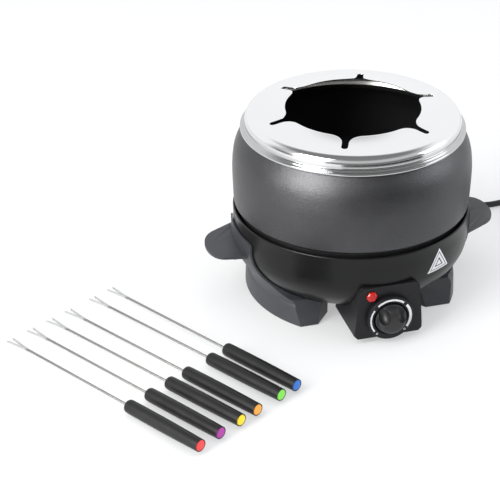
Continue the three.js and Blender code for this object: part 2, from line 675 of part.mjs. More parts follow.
function layOnTable(mesh, fork) {
  const capHeight = GRIP_RADIUS + (GRIP_LENGTH * (GRIP_RADIUS - TIP_HEIGHT)) / (FORK_LENGTH - GRIP_LENGTH);
  const tilt = Math.asin((capHeight - TIP_HEIGHT) / FORK_LENGTH);
  const holder = new THREE.Group();
  const [x, y] = atAngle(fork.along, ROW_ANGLE);
  holder.position.set(FORK_ROW.x + x, FORK_ROW.y + y, capHeight + 0.1);
  holder.rotation.set(0, tilt, FORK_ANGLE + THREE.MathUtils.degToRad(fork.turn), 'ZYX');
  holder.add(mesh);
  return holder;
}

// ---------------------------------------------------------------- assembly
const paint = (color, roughness, metalness = 0) => (
  new THREE.MeshStandardMaterial({ color, roughness, metalness })
);
const POLISHED = paint(0xd8d9dc, 0.15, 1);
const STEEL = paint(0xb8babd, 0.3, 1);
const ALUMINIUM = paint(0xa9abae, 0.45, 1);
const POT_COAT = paint(0x4a4a4d, 0.5, 0.3);
const BLACK_PAINT = paint(0x171718, 0.35);
const BLACK_PLASTIC = paint(0x1c1c1f, 0.55);
const GREY_PLASTIC = paint(0x8e8f92, 0.6);
const RUBBER = paint(0x101010, 0.9);
const RED_LENS = paint(0xd8201c, 0.2);
const WIRE_COLOURS = { brown: paint(0x6a3d1c, 0.5), blue: paint(0x2a55b0, 0.5) };

const set = new THREE.Group();
set.position.copy(POT_AXIS);

function piece(name, geometry, material, parent = set) {
  const mesh = new THREE.Mesh(closed(geometry), material);
  mesh.name = name;
  parent.add(mesh);
  return mesh;
}

piece('fork_ring', forkRing(), POLISHED);
piece('pot', pot(), POT_COAT);
piece('base_bowl', baseBowl(), BLACK_PAINT);
piece('heating_plate', heatingPlate(), ALUMINIUM);
piece('heating_element', heatingElement(), STEEL);
piece('heat_reflector', heatReflector(), ALUMINIUM);
piece('plate_post', platePost(), STEEL);
piece('base_cover', baseCover(), BLACK_PAINT);
piece('centre_bolt', centreBolt(), STEEL);
COVER_SCREW_ANGLES.forEach((angle, i) => piece(`cover_screw_${i + 1}`, coverScrew(angle), STEEL));

const moulding = sideMoulding();
piece('right_moulding', moulding, BLACK_PLASTIC);
piece('left_moulding', moulding.clone().rotateZ(Math.PI), BLACK_PLASTIC);
for (const [sideName, side] of [['left', -1], ['right', 1]]) {
  for (const [endName, end] of [['front', -1], ['rear', 1]]) {
    piece(`${sideName}_${endName}_pad`, footPad(side, end), RUBBER);
    piece(`${sideName}_${endName}_screw`, mouldingScrew(side, end), STEEL);
  }
}

piece('control_housing', controlHousing(), BLACK_PLASTIC);
piece('dial_bezel', dialBezel(), BLACK_PLASTIC);
piece('control_knob', controlKnob(), BLACK_PLASTIC);
piece('thermostat_shaft', thermostatShaft(), STEEL);
piece('thermostat_body', thermostatBody(), GREY_PLASTIC);
piece('lamp_lens', lampLens(), RED_LENS);
piece('lamp_holder', lampHolder(), GREY_PLASTIC);
piece('terminal_block', terminalBlock(), GREY_PLASTIC);
piece('live_wire', liveWire(), WIRE_COLOURS.brown);
piece('switched_wire', switchedWire(), WIRE_COLOURS.brown);
piece('neutral_wire', neutralWire(), WIRE_COLOURS.blue);

piece('cord_gland', cordGland(), RUBBER);
piece('power_cord', powerCord(), RUBBER);
piece('cord_coil', cordCoil(), RUBBER);
piece('cord_tail', cordTail(), RUBBER);
piece('cord_tie', cordTie(), RUBBER);
piece('plug_body', plugBody(), BLACK_PLASTIC);
piece('plug_pin_1', plugPin(-1), STEEL);
piece('plug_pin_2', plugPin(1), STEEL);

for (const fork of FORKS) {
  const pieces = new THREE.Group();
  piece(`${fork.colour}_fork_shank`, forkShank(), STEEL, pieces);
  piece(`${fork.colour}_fork_grip`, forkGrip(), BLACK_PLASTIC, pieces);
  piece(`${fork.colour}_fork_cap`, forkCap(), paint(fork.paint, 0.4), pieces);
  set.add(layOnTable(pieces, fork));
}

const fondueSet = new THREE.Group();
fondueSet.add(set);
fondueSet.updateMatrixWorld(true);

export default fondueSet;
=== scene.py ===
"""Looks of the electric fondue set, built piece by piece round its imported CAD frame.

Shapes are drawn in millimetres in the base's own frame, whose Z axis is the axis of the pot,
and are then moved into the row frame, in metres.
"""
from math import asin, atan2, cos, degrees, pi, radians, sin

import bmesh
import bpy
from mathutils import Matrix, Vector


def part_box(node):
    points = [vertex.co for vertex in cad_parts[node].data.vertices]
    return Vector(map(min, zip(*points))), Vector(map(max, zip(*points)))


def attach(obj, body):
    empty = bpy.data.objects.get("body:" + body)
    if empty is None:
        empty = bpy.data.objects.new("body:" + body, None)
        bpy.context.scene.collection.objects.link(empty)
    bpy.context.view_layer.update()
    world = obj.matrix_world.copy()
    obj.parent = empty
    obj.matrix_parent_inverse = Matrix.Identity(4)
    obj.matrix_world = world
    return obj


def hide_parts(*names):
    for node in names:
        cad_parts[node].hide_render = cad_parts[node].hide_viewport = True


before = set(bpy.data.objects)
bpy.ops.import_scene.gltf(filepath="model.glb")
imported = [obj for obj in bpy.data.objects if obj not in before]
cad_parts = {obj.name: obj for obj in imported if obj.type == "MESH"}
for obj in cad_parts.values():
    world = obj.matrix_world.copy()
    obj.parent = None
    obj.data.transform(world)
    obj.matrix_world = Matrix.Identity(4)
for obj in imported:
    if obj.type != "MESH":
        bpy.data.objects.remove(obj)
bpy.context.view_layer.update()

MM = 0.001
LARGE = 192  # facets round the pot, the ring and the bowl
SMALL = 40  # facets round screws, pins and pads
pot_low, pot_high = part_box("pot")
AXIS = Vector(((pot_low.x + pot_high.x) / 2, (pot_low.y + pot_high.y) / 2, 0))
TO_ROW = Matrix.Translation(AXIS) @ Matrix.Scale(MM, 4)
scene = bpy.context.scene


# -------------------- shader nodes
def set_inputs(node, values):
    """Sets constants on a node's inputs by name; an underscore stands for a space."""
    for name, value in values.items():
        node.inputs[name.replace("_", " ")].default_value = value


def add_node(tree, kind, **inputs):
    node = tree.nodes.new(f"ShaderNode{kind}")
    set_inputs(node, inputs)
    return node


def calc(tree, kind, operation, first, second=None):
    """What a Math or VectorMath node makes of a socket and a second socket or constant."""
    node = add_node(tree, kind)
    node.operation = operation
    tree.links.new(first, node.inputs[0])
    if isinstance(second, bpy.types.NodeSocket):
        tree.links.new(second, node.inputs[1])
    elif second is not None:
        node.inputs[1].default_value = second
    scalar = kind == "Math" or operation in ("DOT_PRODUCT", "LENGTH")
    return node.outputs["Value" if scalar else "Vector"]


def plain_material(name, **inputs):
    material = bpy.data.materials.new(name)
    material.use_nodes = True
    set_inputs(material.node_tree.nodes["Principled BSDF"], inputs)
    return material


# -------------------- camera and surroundings
CAMERA_PLACE = (-426.6, -1214.4, 769.7)  # from the foot of the pot's axis
CAMERA_AZIMUTH, CAMERA_PITCH, CAMERA_ROLL, CAMERA_LENS = 15.26, 29.86, -0.57, 115.2
BACKDROP_WAY = (0.263, 0.965, 0)  # level, from the front of the set to its back
BACKDROP_LEVEL, CEILING_LEVEL, WALL_SHARE = 1.04, 0.22, 0.42
FLOOR_HALF = 6.0
CARD_REACH, CARD_TURN, CARD_HEIGHT = (0.44, 3), (-118, -38), 0.002
WHITE = (1, 1, 1)
LIGHTS = [  # name, place, aim, width and height, watts, colour
    ("key", (-1.55, -0.75, 1.15), (0.05, 0.05, 0.1), (1.0, 2.0), 52, WHITE),
    ("fill", (1.9, -0.55, 0.75), (0.1, 0, 0.1), (1.0, 0.9), 13, (0.9, 0.95, 1)),
    ("overhead", (0.0, -0.1, 2.3), (0.0, 0.0, 0), (2.6, 2.6), 30, WHITE),
    ("sheen", (-1.4, -0.85, 0.85), (0.05, 0.05, 0.12), (0.7, 1.2), 24, WHITE),
]


def make_camera():
    place = AXIS + Vector(CAMERA_PLACE) * MM
    azimuth, pitch, roll = radians(CAMERA_AZIMUTH), radians(CAMERA_PITCH), radians(CAMERA_ROLL)
    ahead = Vector((sin(azimuth) * cos(pitch), cos(azimuth) * cos(pitch), -sin(pitch)))
    side = ahead.cross(Vector((0, 0, 1))).normalized()
    above = side.cross(ahead)
    right = side * cos(roll) + above * sin(roll)
    up = above * cos(roll) - side * sin(roll)
    data = bpy.data.cameras.new("camera")
    data.sensor_width = 36
    data.lens = CAMERA_LENS
    data.clip_end = 50
    camera = bpy.data.objects.new("camera", data)
    turn = Matrix((right, up, -ahead)).transposed()
    camera.matrix_world = Matrix.Translation(place) @ turn.to_4x4()
    scene.collection.objects.link(camera)
    scene.camera = camera


def area_light(name, place, aim, size, power, colour):
    data = bpy.data.lights.new(name, "AREA")
    data.shape = "RECTANGLE"
    data.size, data.size_y = size
    data.energy = power
    data.color = colour
    light = bpy.data.objects.new(name, data)
    towards = (Vector(aim) - Vector(place)).to_track_quat("-Z", "Y")
    light.matrix_world = Matrix.Translation(place) @ towards.to_matrix().to_4x4()
    scene.collection.objects.link(light)
    return light


def make_world():
    """A white backdrop behind the set, a grey wall in front of it, and a dim ceiling and horizon."""
    world = bpy.data.worlds.new("studio")
    scene.world = world
    world.use_nodes = True
    tree = world.node_tree
    background = tree.nodes["Background"]
    background.inputs["Color"].default_value = (0.985, 0.992, 1, 1)
    towards = add_node(tree, "TexCoord").outputs["Generated"]
    away = calc(tree, "VectorMath", "DOT_PRODUCT", towards, BACKDROP_WAY)
    parts = add_node(tree, "SeparateXYZ")
    tree.links.new(towards, parts.inputs[0])
    height = parts.outputs["Z"]
    behind = faded(tree, away, -0.15, 0.25)
    wall = calc(tree, "Math", "MULTIPLY", faded(tree, height, 0.2, 0.42), WALL_SHARE)
    sides = calc(tree, "Math", "MAXIMUM", behind, wall)
    whole = calc(tree, "Math", "MULTIPLY", sides, faded(tree, height, 0.88, 0.66))
    level = add_node(tree, "MapRange", To_Min=CEILING_LEVEL, To_Max=BACKDROP_LEVEL)
    tree.links.new(whole, level.inputs["Value"])
    tree.links.new(level.outputs["Result"], background.inputs["Strength"])


def faded(tree, value, start, end):
    """0 up to start, 1 past end and a smooth step between them."""
    step = add_node(tree, "MapRange", From_Min=start, From_Max=end)
    step.interpolation_type = "SMOOTHSTEP"
    tree.links.new(value, step.inputs["Value"])
    return step.outputs["Result"]


def make_stage():
    """A pale floor that glows a little, four soft lights and a black card."""
    mesh = bpy.data.meshes.new("floor")
    square = ((-1, -1), (1, -1), (1, 1), (-1, 1))
    mesh.from_pydata([(x * FLOOR_HALF, y * FLOOR_HALF, 0) for x, y in square], [], [(0, 1, 2, 3)])
    floor = bpy.data.objects.new("floor", mesh)
    scene.collection.objects.link(floor)
    mesh.materials.append(plain_material(
        "paper", Base_Color=(0.43, 0.433, 0.437, 1), Roughness=0.6,
        Emission_Color=(1, 1, 1, 1), Emission_Strength=0.42,
    ))
    lights = {light[0]: area_light(*light) for light in LIGHTS}
    lights["overhead"].visible_glossy = False
    lights["sheen"].visible_diffuse = False
    make_card()
    scene.view_settings.view_transform = "Standard"


def make_card():
    """A black card on the floor in front of the set, which only glossy surfaces see."""
    bm = bmesh.new()
    near, far = [
        [bm.verts.new((AXIS.x + x, AXIS.y + y, CARD_HEIGHT)) for x, y in arc((0, 0), radius, *CARD_TURN, 16)]
        for radius in CARD_REACH
    ]
    bridge(bm, far, near, closed=False)
    card = from_bmesh("card", bm)
    card.data.materials.append(plain_material("black_card", Base_Color=(0.01, 0.01, 0.01, 1), Roughness=0.9))
    card.visible_camera = card.visible_diffuse = card.visible_shadow = card.visible_transmission = False


# -------------------- outlines and solids
def corner(points, steps=6):
    """Points of (a, b) or (a, b, cut); a third value rounds that corner, starting cut before it."""
    result = []
    count = len(points)
    for i, point in enumerate(points):
        here = Vector(point[:2])
        if len(point) == 2 or i in (0, count - 1):
            result.append(tuple(here))
            continue
        last, following = Vector(points[i - 1][:2]), Vector(points[i + 1][:2])
        start = here + (last - here).normalized() * min(point[2], (last - here).length * 0.49)
        end = here + (following - here).normalized() * min(point[2], (following - here).length * 0.49)
        for k in range(steps + 1):
            t = k / steps
            result.append(tuple(start * (1 - t) ** 2 + here * 2 * t * (1 - t) + end * t * t))
    return result


def smooth(points, steps=6):
    """A Catmull-Rom curve through points of any dimension."""
    points = [Vector(p) for p in points]
    padded = [points[0] * 2 - points[1], *points, points[-1] * 2 - points[-2]]
    result = []
    for i in range(1, len(padded) - 2):
        a, b, c, d = padded[i - 1:i + 3]
        for k in range(steps):
            t = k / steps
            result.append(tuple(0.5 * (b * 2 + (c - a) * t + (a * 2 - b * 5 + c * 4 - d) * t * t
                                       + (b * 3 - a - c * 3 + d) * t ** 3)))
    result.append(tuple(points[-1]))
    return result


def bezier(a, b, c, d, steps=10):
    a, b, c, d = map(Vector, (a, b, c, d))
    ts = [k / steps for k in range(steps + 1)]
    return [tuple(a * (1 - t) ** 3 + b * 3 * t * (1 - t) ** 2 + c * 3 * t * t * (1 - t) + d * t ** 3)
            for t in ts]


def arc(centre, radius, start, end, steps=12):
    """Points on a circle, angles in degrees."""
    turns = [radians(start + (end - start) * k / steps) for k in range(steps + 1)]
    return [(centre[0] + radius * cos(turn), centre[1] + radius * sin(turn)) for turn in turns]


def at_angle(radius, angle):
    return (radius * cos(radians(angle)), radius * sin(radians(angle)))


def from_bmesh(name, bm):
    bmesh.ops.remove_doubles(bm, verts=bm.verts, dist=1e-5)
    bmesh.ops.recalc_face_normals(bm, faces=bm.faces)
    mesh = bpy.data.meshes.new(name)
    bm.to_mesh(mesh)
    bm.free()
    obj = bpy.data.objects.new(name, mesh)
    scene.collection.objects.link(obj)
    return obj


def bridge(bm, first, second, closed=True):
    """Faces between two rows of points, three-sided where two of a face's points are one."""
    count = len(first)
    for k in range(count if closed else count - 1):
        j = (k + 1) % count
        loop = list(dict.fromkeys((first[k], first[j], second[j], second[k])))
        if len(loop) > 2:
            bm.faces.new(loop)


def lathe(name, profile, facets=LARGE, closed=False):
    """Turns (radius, height) points about Z. The first and last lie on the axis unless closed."""
    bm = bmesh.new()
    turns = [2 * pi * k / facets for k in range(facets)]
    rows = []
    for radius, height in profile:
        if radius < 1e-6:
            rows.append([bm.verts.new((0, 0, height))] * facets)
        else:
            rows.append([bm.verts.new((radius * cos(turn), radius * sin(turn), height)) for turn in turns])
    if closed:
        rows.append(rows[0])
    for low, high in zip(rows, rows[1:]):
        bridge(bm, low, high)
    return from_bmesh(name, bm)


def slab(name, outline, low, high):
    """A flat outline in X and Y, raised from low to high."""
    points = [Vector(p) for p in outline]
    kept = [p for i, p in enumerate(points) if (p - points[i - 1]).length > 1e-4]
    bm = bmesh.new()
    bottom, top = [[bm.verts.new((p.x, p.y, height)) for p in kept] for height in (low, high)]
    bm.faces.new(bottom[::-1])
    bm.faces.new(top)
    bridge(bm, bottom, top)
    return from_bmesh(name, bm)


def block(name, low, high):
    outline = [(low[0], low[1]), (high[0], low[1]), (high[0], high[1]), (low[0], high[1])]
    return slab(name, outline, low[2], high[2])


def rod(name, radius, low, high, facets=SMALL):
    return slab(name, [at_angle(radius, 360 * k / facets) for k in range(facets)], low, high)


def loft(name, sections, closed=False):
    """Loops of equal length, joined in turn. The ends are capped, or joined to each other if closed."""
    bm = bmesh.new()
    rings = [[bm.verts.new(p) for p in section] for section in sections]
    following = rings[1:] + rings[:1] if closed else rings[1:]
    for first, second in zip(rings, following):
        bridge(bm, first, second)
    if not closed:
        bm.faces.new(rings[0][::-1])
        bm.faces.new(rings[-1])
    return from_bmesh(name, bm)


def tube(name, points, radius, sides=16):
    """A round tube along 3-D points, its rings turned as little as possible."""
    points = [Vector(p) for p in points]
    up = Vector((0, 0, 1))
    around = [(cos(2 * pi * k / sides), sin(2 * pi * k / sides)) for k in range(sides)]
    sections = []
    for i, point in enumerate(points):
        ahead = (points[min(i + 1, len(points) - 1)] - points[max(i - 1, 0)]).normalized()
        if i == 0:
            across = ahead.cross(up)
            if across.length < 0.1:
                across = ahead.cross(Vector((1, 0, 0)))
            across.normalize()
        across = (across - ahead * across.dot(ahead)).normalized()
        other = ahead.cross(across)
        sections.append([point + (across * a + other * b) * radius for a, b in around])
    return loft(name, sections)


def move(obj, matrix):
    obj.data.transform(matrix)
    return obj


FACING_FRONT = Matrix.Rotation(radians(90), 4, "X")  # +Z to -Y
FACING_RIGHT = Matrix.Rotation(radians(90), 4, "Y")  # +Z to +X


def shift(x, y, z):
    return Matrix.Translation((x, y, z))


def about_z(angle):
    return Matrix.Rotation(radians(angle), 4, "Z")


def bake(obj):
    """Replaces an object's mesh by what its modifiers make of it."""
    graph = bpy.context.evaluated_depsgraph_get()
    mesh = bpy.data.meshes.new_from_object(obj.evaluated_get(graph))
    obj.modifiers.clear()
    old, obj.data = obj.data, mesh
    bpy.data.meshes.remove(old)
    return obj


def boolean(target, operation, *tools):
    for tool in tools:
        step = target.modifiers.new("step", "BOOLEAN")
        step.operation = operation
        step.solver = "EXACT"
        step.object = tool
        bake(target)
        bpy.data.objects.remove(tool)
    return target


def cut(target, *tools):
    return boolean(target, "DIFFERENCE", *tools)


def join(target, *tools):
    return boolean(target, "UNION", *tools)


def common(target, *tools):
    return boolean(target, "INTERSECT", *tools)


def soften(obj, width, segments=3, angle=28):
    step = obj.modifiers.new("soften", "BEVEL")
    step.width = width
    step.segments = segments
    step.limit_method = "ANGLE"
    step.angle_limit = radians(angle)
    return bake(obj)


def finish(obj, body, slot, materials, *nodes, sharp=32):
    """Moves a piece drawn in millimetres into the row frame, then shades it, gives it its materials, hides
    the CAD parts it stands for and hangs it on its body.
    """
    obj.data.transform(TO_ROW)
    return declare(obj, body, slot, materials, *nodes, sharp=sharp)


def declare(obj, body, slot, materials, *nodes, sharp):
    """Shades a piece, gives it its materials, hides the CAD parts it stands for and hangs it on the empty of
    the body it rides on.
    """
    obj.data.shade_smooth()
    obj.data.set_sharp_from_angle(angle=radians(sharp))
    obj.data.materials.clear()
    for material in materials if isinstance(materials, list) else [materials]:
        obj.data.materials.append(material)
    if nodes:
        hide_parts(*nodes)
    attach(obj, body)
    return obj


# -------------------- materials
DRIFT_LOW, DRIFT_HIGH = 0.3, 0.7  # most of the noise lies between these


def shader(name, colour, rough, metal=0.0, spread=0.06, rough_spread=0.05, grain=0.0, size=0.5,
           bump=0.00006, patch=25.0, **inputs):
    """A material whose colour and gloss drift over patches, with a moulded or sprayed grain.

    size is the grain's width in millimetres, patch the number of drifts in a metre.
    """
    material = plain_material(name, Metallic=metal, **inputs)
    tree, links = material.node_tree, material.node_tree.links
    surface = tree.nodes["Principled BSDF"]
    where = add_node(tree, "TexCoord")
    drift = add_node(tree, "TexNoise", Scale=patch, Detail=5, Roughness=0.6)
    links.new(where.outputs["Object"], drift.inputs["Vector"])
    ramp = add_node(tree, "ValToRGB")
    low, high = ramp.color_ramp.elements
    low.position, high.position = DRIFT_LOW, DRIFT_HIGH
    low.color = (*[c * (1 - spread) for c in colour], 1)
    high.color = (*[min(1, c * (1 + spread)) for c in colour], 1)
    links.new(drift.outputs["Fac"], ramp.inputs["Fac"])
    links.new(ramp.outputs["Color"], surface.inputs["Base Color"])
    gloss = add_node(tree, "MapRange", From_Min=DRIFT_LOW, From_Max=DRIFT_HIGH,
                     To_Min=max(0.02, rough - rough_spread), To_Max=min(1, rough + rough_spread))
    links.new(drift.outputs["Fac"], gloss.inputs["Value"])
    links.new(gloss.outputs["Result"], surface.inputs["Roughness"])
    if grain:
        fine = add_node(tree, "TexNoise", Scale=1000 / size, Detail=3)
        links.new(where.outputs["Object"], fine.inputs["Vector"])
        add_relief(tree, fine.outputs["Fac"], grain, bump)
    return material


def add_relief(tree, height, strength, depth):
    relief = add_node(tree, "Bump", Strength=strength, Distance=depth)
    tree.links.new(height, relief.inputs["Height"])
    tree.links.new(relief.outputs["Normal"], tree.nodes["Principled BSDF"].inputs["Normal"])


def turned_rings(material, pitch, strength, depth):
    """Adds the fine circles that turning or spinning leaves, round the pot's axis."""
    tree = material.node_tree
    where = add_node(tree, "TexCoord").outputs["Object"]
    centred = calc(tree, "VectorMath", "SUBTRACT", where, (AXIS.x, AXIS.y, 0))
    flat = calc(tree, "VectorMath", "MULTIPLY", centred, (1, 1, 0))
    reach = calc(tree, "VectorMath", "LENGTH", flat)
    turns = calc(tree, "Math", "MULTIPLY", reach, 2 * pi / (pitch * MM))
    add_relief(tree, calc(tree, "Math", "SINE", turns), strength, depth)
    return material


def painted_shade_below(material, high, low, share):
    """Paints shade into a material: dims its colour to a share of it as the height falls from high to low,
    in millimetres.
    """
    tree = material.node_tree
    base = tree.nodes["Principled BSDF"].inputs["Base Color"]
    colour = base.links[0].from_socket
    parts = add_node(tree, "SeparateXYZ")
    tree.links.new(add_node(tree, "TexCoord").outputs["Object"], parts.inputs[0])
    level = add_node(tree, "MapRange", From_Min=low * MM, From_Max=high * MM, To_Min=share)
    tree.links.new(parts.outputs["Z"], level.inputs["Value"])
    dim = add_node(tree, "VectorMath")
    dim.operation = "SCALE"
    tree.links.new(colour, dim.inputs[0])
    tree.links.new(level.outputs["Result"], dim.inputs["Scale"])
    tree.links.new(dim.outputs[0], base)


POLISHED = shader("polished_steel_look", (0.86, 0.86, 0.865), 0.13, 1.0, 0.01, 0.02, patch=14)
# Painted shade: the ring's turned-down edge and rolled bead, below 170 mm, are dimmed to darken their
# reflections.
painted_shade_below(POLISHED, high=170, low=165, share=0.62)
POT_OUT = shader("pot_outside_look", (0.078, 0.078, 0.081), 0.40, 0.9, 0.06, 0.03,
                 grain=0.9, size=0.9, bump=0.0003, patch=30)
POT_IN = shader("pot_inside_look", (0.012, 0.012, 0.012), 0.38, spread=0.1, grain=0.3, size=0.6)
PAINT = shader("base_paint_look", (0.006, 0.006, 0.0062), 0.30, 0.0, 0.08, 0.03,
               grain=0.22, bump=0.00004, Specular_IOR_Level=0.24)
PLASTIC = shader("black_plastic_look", (0.007, 0.007, 0.0085), 0.45, spread=0.1,
                 grain=0.5, size=0.35, Specular_IOR_Level=0.28)
# Painted sheen: the side mouldings are the housing's black plastic, drawn lighter and a little blue for
# their sheen and the floor's bluish reflection.
FOOT = shader("plastic_painted_sheen_look", (0.034, 0.035, 0.041), 0.46, spread=0.1, grain=0.5, size=0.35)
KNOB = shader("knob_look", (0.010, 0.010, 0.011), 0.48, 0.0, 0.1, 0.06, grain=0.3, bump=0.00005)
GRIP = shader("grip_plastic_look", (0.005, 0.005, 0.0054), 0.42, 0.0, 0.12, 0.06,
              grain=0.6, bump=0.0001, patch=60, Specular_IOR_Level=0.4)
RUBBER = shader("rubber_look", (0.016, 0.016, 0.017), 0.55, 0.0, 0.12, 0.06,
                grain=0.4, size=0.3, bump=0.00005)
STEEL = shader("plain_steel_look", (0.52, 0.51, 0.49), 0.30, 1.0, 0.05, 0.06,
               grain=0.2, size=0.3, bump=0.00003, patch=60)
SPUN = turned_rings(shader("reflector_look", (0.62, 0.63, 0.64), 0.38, 1.0, 0.05, 0.06),
                    pitch=0.8, strength=0.3, depth=0.00005)
CAST = turned_rings(shader("cast_aluminium_look", (0.50, 0.50, 0.51), 0.42, 1.0, 0.07, 0.07),
                    pitch=1.1, strength=0.6, depth=0.00008)
GREY = shader("grey_plastic_look", (0.26, 0.265, 0.27), 0.5, grain=0.3)
PRINT = shader("white_print_look", (0.72, 0.73, 0.75), 0.5, 0.0, 0.04, 0.04, patch=200)
LENS = shader("red_lens_look", (0.62, 0.010, 0.006), 0.10, 0.0, 0.35, 0.03, patch=260,
              Transmission_Weight=0.35, IOR=1.49)
# Painted reflection: the tines are the same steel wire as the shank, drawn lighter for the white they
# reflect.
TINE_PAINTED_REFLECTION = shader("fork_tine_painted_reflection_look", (0.64, 0.64, 0.64), 0.24, 1.0, 0.03, patch=60)
# Painted shade: the round fork wire is drawn darker than plain steel.
WIRE_PAINTED_SHADE = shader("fork_wire_painted_shade_look", (0.29, 0.28, 0.27), 0.40, 1.0, 0.03, 0.04, patch=20)
BRASS = shader("pin_brass_look", (0.80, 0.68, 0.42), 0.25, 1.0, 0.04, patch=90)
WIRE = {
    "brown_wire": shader("brown_wire_look", (0.11, 0.035, 0.012), 0.45, grain=0.2),
    "blue_wire": shader("blue_wire_look", (0.025, 0.09, 0.42), 0.45, grain=0.2),
}
CAPS = {
    "red": (0.95, 0.055, 0.055),
    "purple": (0.40, 0.032, 0.33),
    "yellow": (0.95, 0.70, 0.008),
    "orange": (0.98, 0.38, 0.035),
    "green": (0.20, 0.72, 0.07),
    "blue": (0.018, 0.15, 0.56),
}


# -------------------- mains lead
CORD = 3.0  # radius
GLAND_ANGLE, GLAND_Z, GLAND_END = 60, 40, 135.6
COIL_X, COIL_Y = 250, 58
OUTER_TURN, INNER_TURN = 36, 30
LOWER_LAYER = 3.9
COIL_TRAVEL = 1530  # degrees, as are the next three
CROSS_START, WIDEN_START, CLIMB_START = 250, 885, 1185
CORD_ROUTE = [
    (*at_angle(GLAND_END + 0.3, GLAND_ANGLE), GLAND_Z), (72.5, 125.8, 39.6), (79.5, 134.6, 37),
    (90, 142, 31.6), (103, 144.6, 24.2), (116.5, 141.4, 16.4), (129.5, 133, 9.8), (141.5, 121.8, 5.1),
    (153, 109.6, 3.4), (163.5, 100.6, 3.1), (172, 96.2, 3.1), (181, 94.4, 3.1), (193, 95, 3.1),
    (206, 95.6, 3.3), (217, 94.9, 3.7), (226, 94.3, 3.9),
]
TAIL_ROUTE = [
    (286.2, 35.2, 15.7), (286.7, 26, 15), (287.8, 16, 13.7), (289.2, 6, 12.2), (290.3, -4.6, 11.3),
]


def ease(t):
    t = min(1.0, max(0.0, t))
    return t * t * (3 - 2 * t)


def coil_points(step=15):
    """Four turns and a quarter, clockwise from the coil's far side, in three layers.

    travel is in degrees. Each change of turn or layer is made where the turns beside it leave room.
    """
    points = []
    apart = 2 * CORD
    for travel in range(0, COIL_TRAVEL + step, step):
        crossing = radians(90) * ease((travel % 360 - CROSS_START) / (360 - CROSS_START))
        if travel < 360:
            radius, height = INNER_TURN + apart * cos(crossing), LOWER_LAYER
        elif travel < 720:
            radius, height = INNER_TURN, LOWER_LAYER + apart * sin(crossing)
        else:
            radius = INNER_TURN + apart * ease((travel - WIDEN_START) / 120)
            height = LOWER_LAYER + apart + apart * ease((travel - CLIMB_START) / 60)
        x, y = at_angle(radius, 90 - travel)
        points.append((COIL_X + x, COIL_Y + y, height))
    return points


def lay_curve(knots):
    """A smooth curve through the knots, given in millimetres, as an object in the row frame."""
    data = bpy.data.curves.new("line", "CURVE")
    data.dimensions = "3D"
    data.resolution_u = 5
    data.use_fill_caps = True
    data.bevel_resolution = 5
    line = data.splines.new("BEZIER")
    line.bezier_points.add(len(knots) - 1)
    for knot, point in zip(line.bezier_points, knots):
        knot.co = TO_ROW @ Vector(point)
        knot.handle_left_type = knot.handle_right_type = "AUTO"
    curve = bpy.data.objects.new("line", data)
    scene.collection.objects.link(curve)
    return curve


def curve_mesh(curve, bevel):
    curve.data.bevel_depth = bevel
    graph = bpy.context.evaluated_depsgraph_get()
    graph.update()
    return bpy.data.meshes.new_from_object(curve.evaluated_get(graph))


def make_cord():
    """The lead's tube, and the points of its centreline in the row frame."""
    curve = lay_curve([*CORD_ROUTE, *coil_points(), *TAIL_ROUTE])
    centre = curve_mesh(curve, 0)
    path = [v.co.copy() for v in centre.vertices]
    bpy.data.meshes.remove(centre)
    lead = bpy.data.objects.new("mains_lead", curve_mesh(curve, CORD * MM))
    bpy.data.objects.remove(curve)
    scene.collection.objects.link(lead)
    declare(lead, "base", "rubber", RUBBER, "power_cord", "cord_coil", "cord_tail", sharp=50)
    return lead, path


def make_gland():
    profile = [(0, 84), (6.5, 84, 0.4), (6.5, 90.6, 0.3), (4.9, 90.6), (4.9, 105.3), (7, 105.3, 0.4),
               (7, 107.8, 0.8), (6, 108.6)]
    # Six grooves let the tapered sleeve bend.
    start, end, grooves, rib, depth, edge = 111.5, 132.5, 6, 1.6, 1.1, 0.25
    for k in range(grooves):
        near = start + (end - start) * k / grooves
        far = near + rib
        radius = 6 - (near - 108.6) * 0.055
        profile += [(radius, near, 0.2), (radius - depth, near + edge, 0.2),
                    (radius - depth, far - edge, 0.2), (radius, far, 0.2)]
    profile += [(4.45, GLAND_END - 0.7, 0.4), (3.7, GLAND_END, 0.2), (0, GLAND_END)]
    gland = lathe("strain_relief", corner(profile, 3), SMALL)
    move(gland, shift(0, 0, GLAND_Z) @ about_z(GLAND_ANGLE) @ FACING_RIGHT)
    finish(gland, "base", "rubber", RUBBER, "cord_gland")


def make_tie():
    inner, outer = INNER_TURN - CORD - 1, OUTER_TURN + CORD + 0.4
    low, high = 0.6, 0.9 + 6 * CORD + 0.4
    half, thick = 4, 0.6
    middle = ((inner + outer) / 2, (low + high) / 2)
    path = corner([(middle[0], low), (outer, low, 2.5), (outer, high, 2.5), (inner, high, 2.5),
                   (inner, low, 2.5), (middle[0], low)], 6)[:-1]
    sections = []
    for x, z in path:
        out = (Vector((x, z)) - Vector(middle)).normalized() * thick
        far_x, far_z = x + out.x, z + out.y
        sections.append([(x, -half, z), (x, half, z), (far_x, half, far_z), (far_x, -half, far_z)])
    tie = loft("tie_strap", sections, closed=True)
    move(tie, shift(COIL_X, COIL_Y, 0) @ about_z(200))
    soften(tie, 0.15, 2, 40)
    return finish(tie, "base", "rubber", RUBBER, "cord_tie")


def oval(y, wide, tall, power, count=48):
    """A rounded section across Y: power 2 is an ellipse, more is squarer."""
    points = []
    for k in range(count):
        a = 2 * pi * k / count
        x = wide * abs(cos(a)) ** (2 / power) * (1 if cos(a) >= 0 else -1)
        z = tall * abs(sin(a)) ** (2 / power) * (1 if sin(a) >= 0 else -1)
        points.append((x, y, z))
    return points


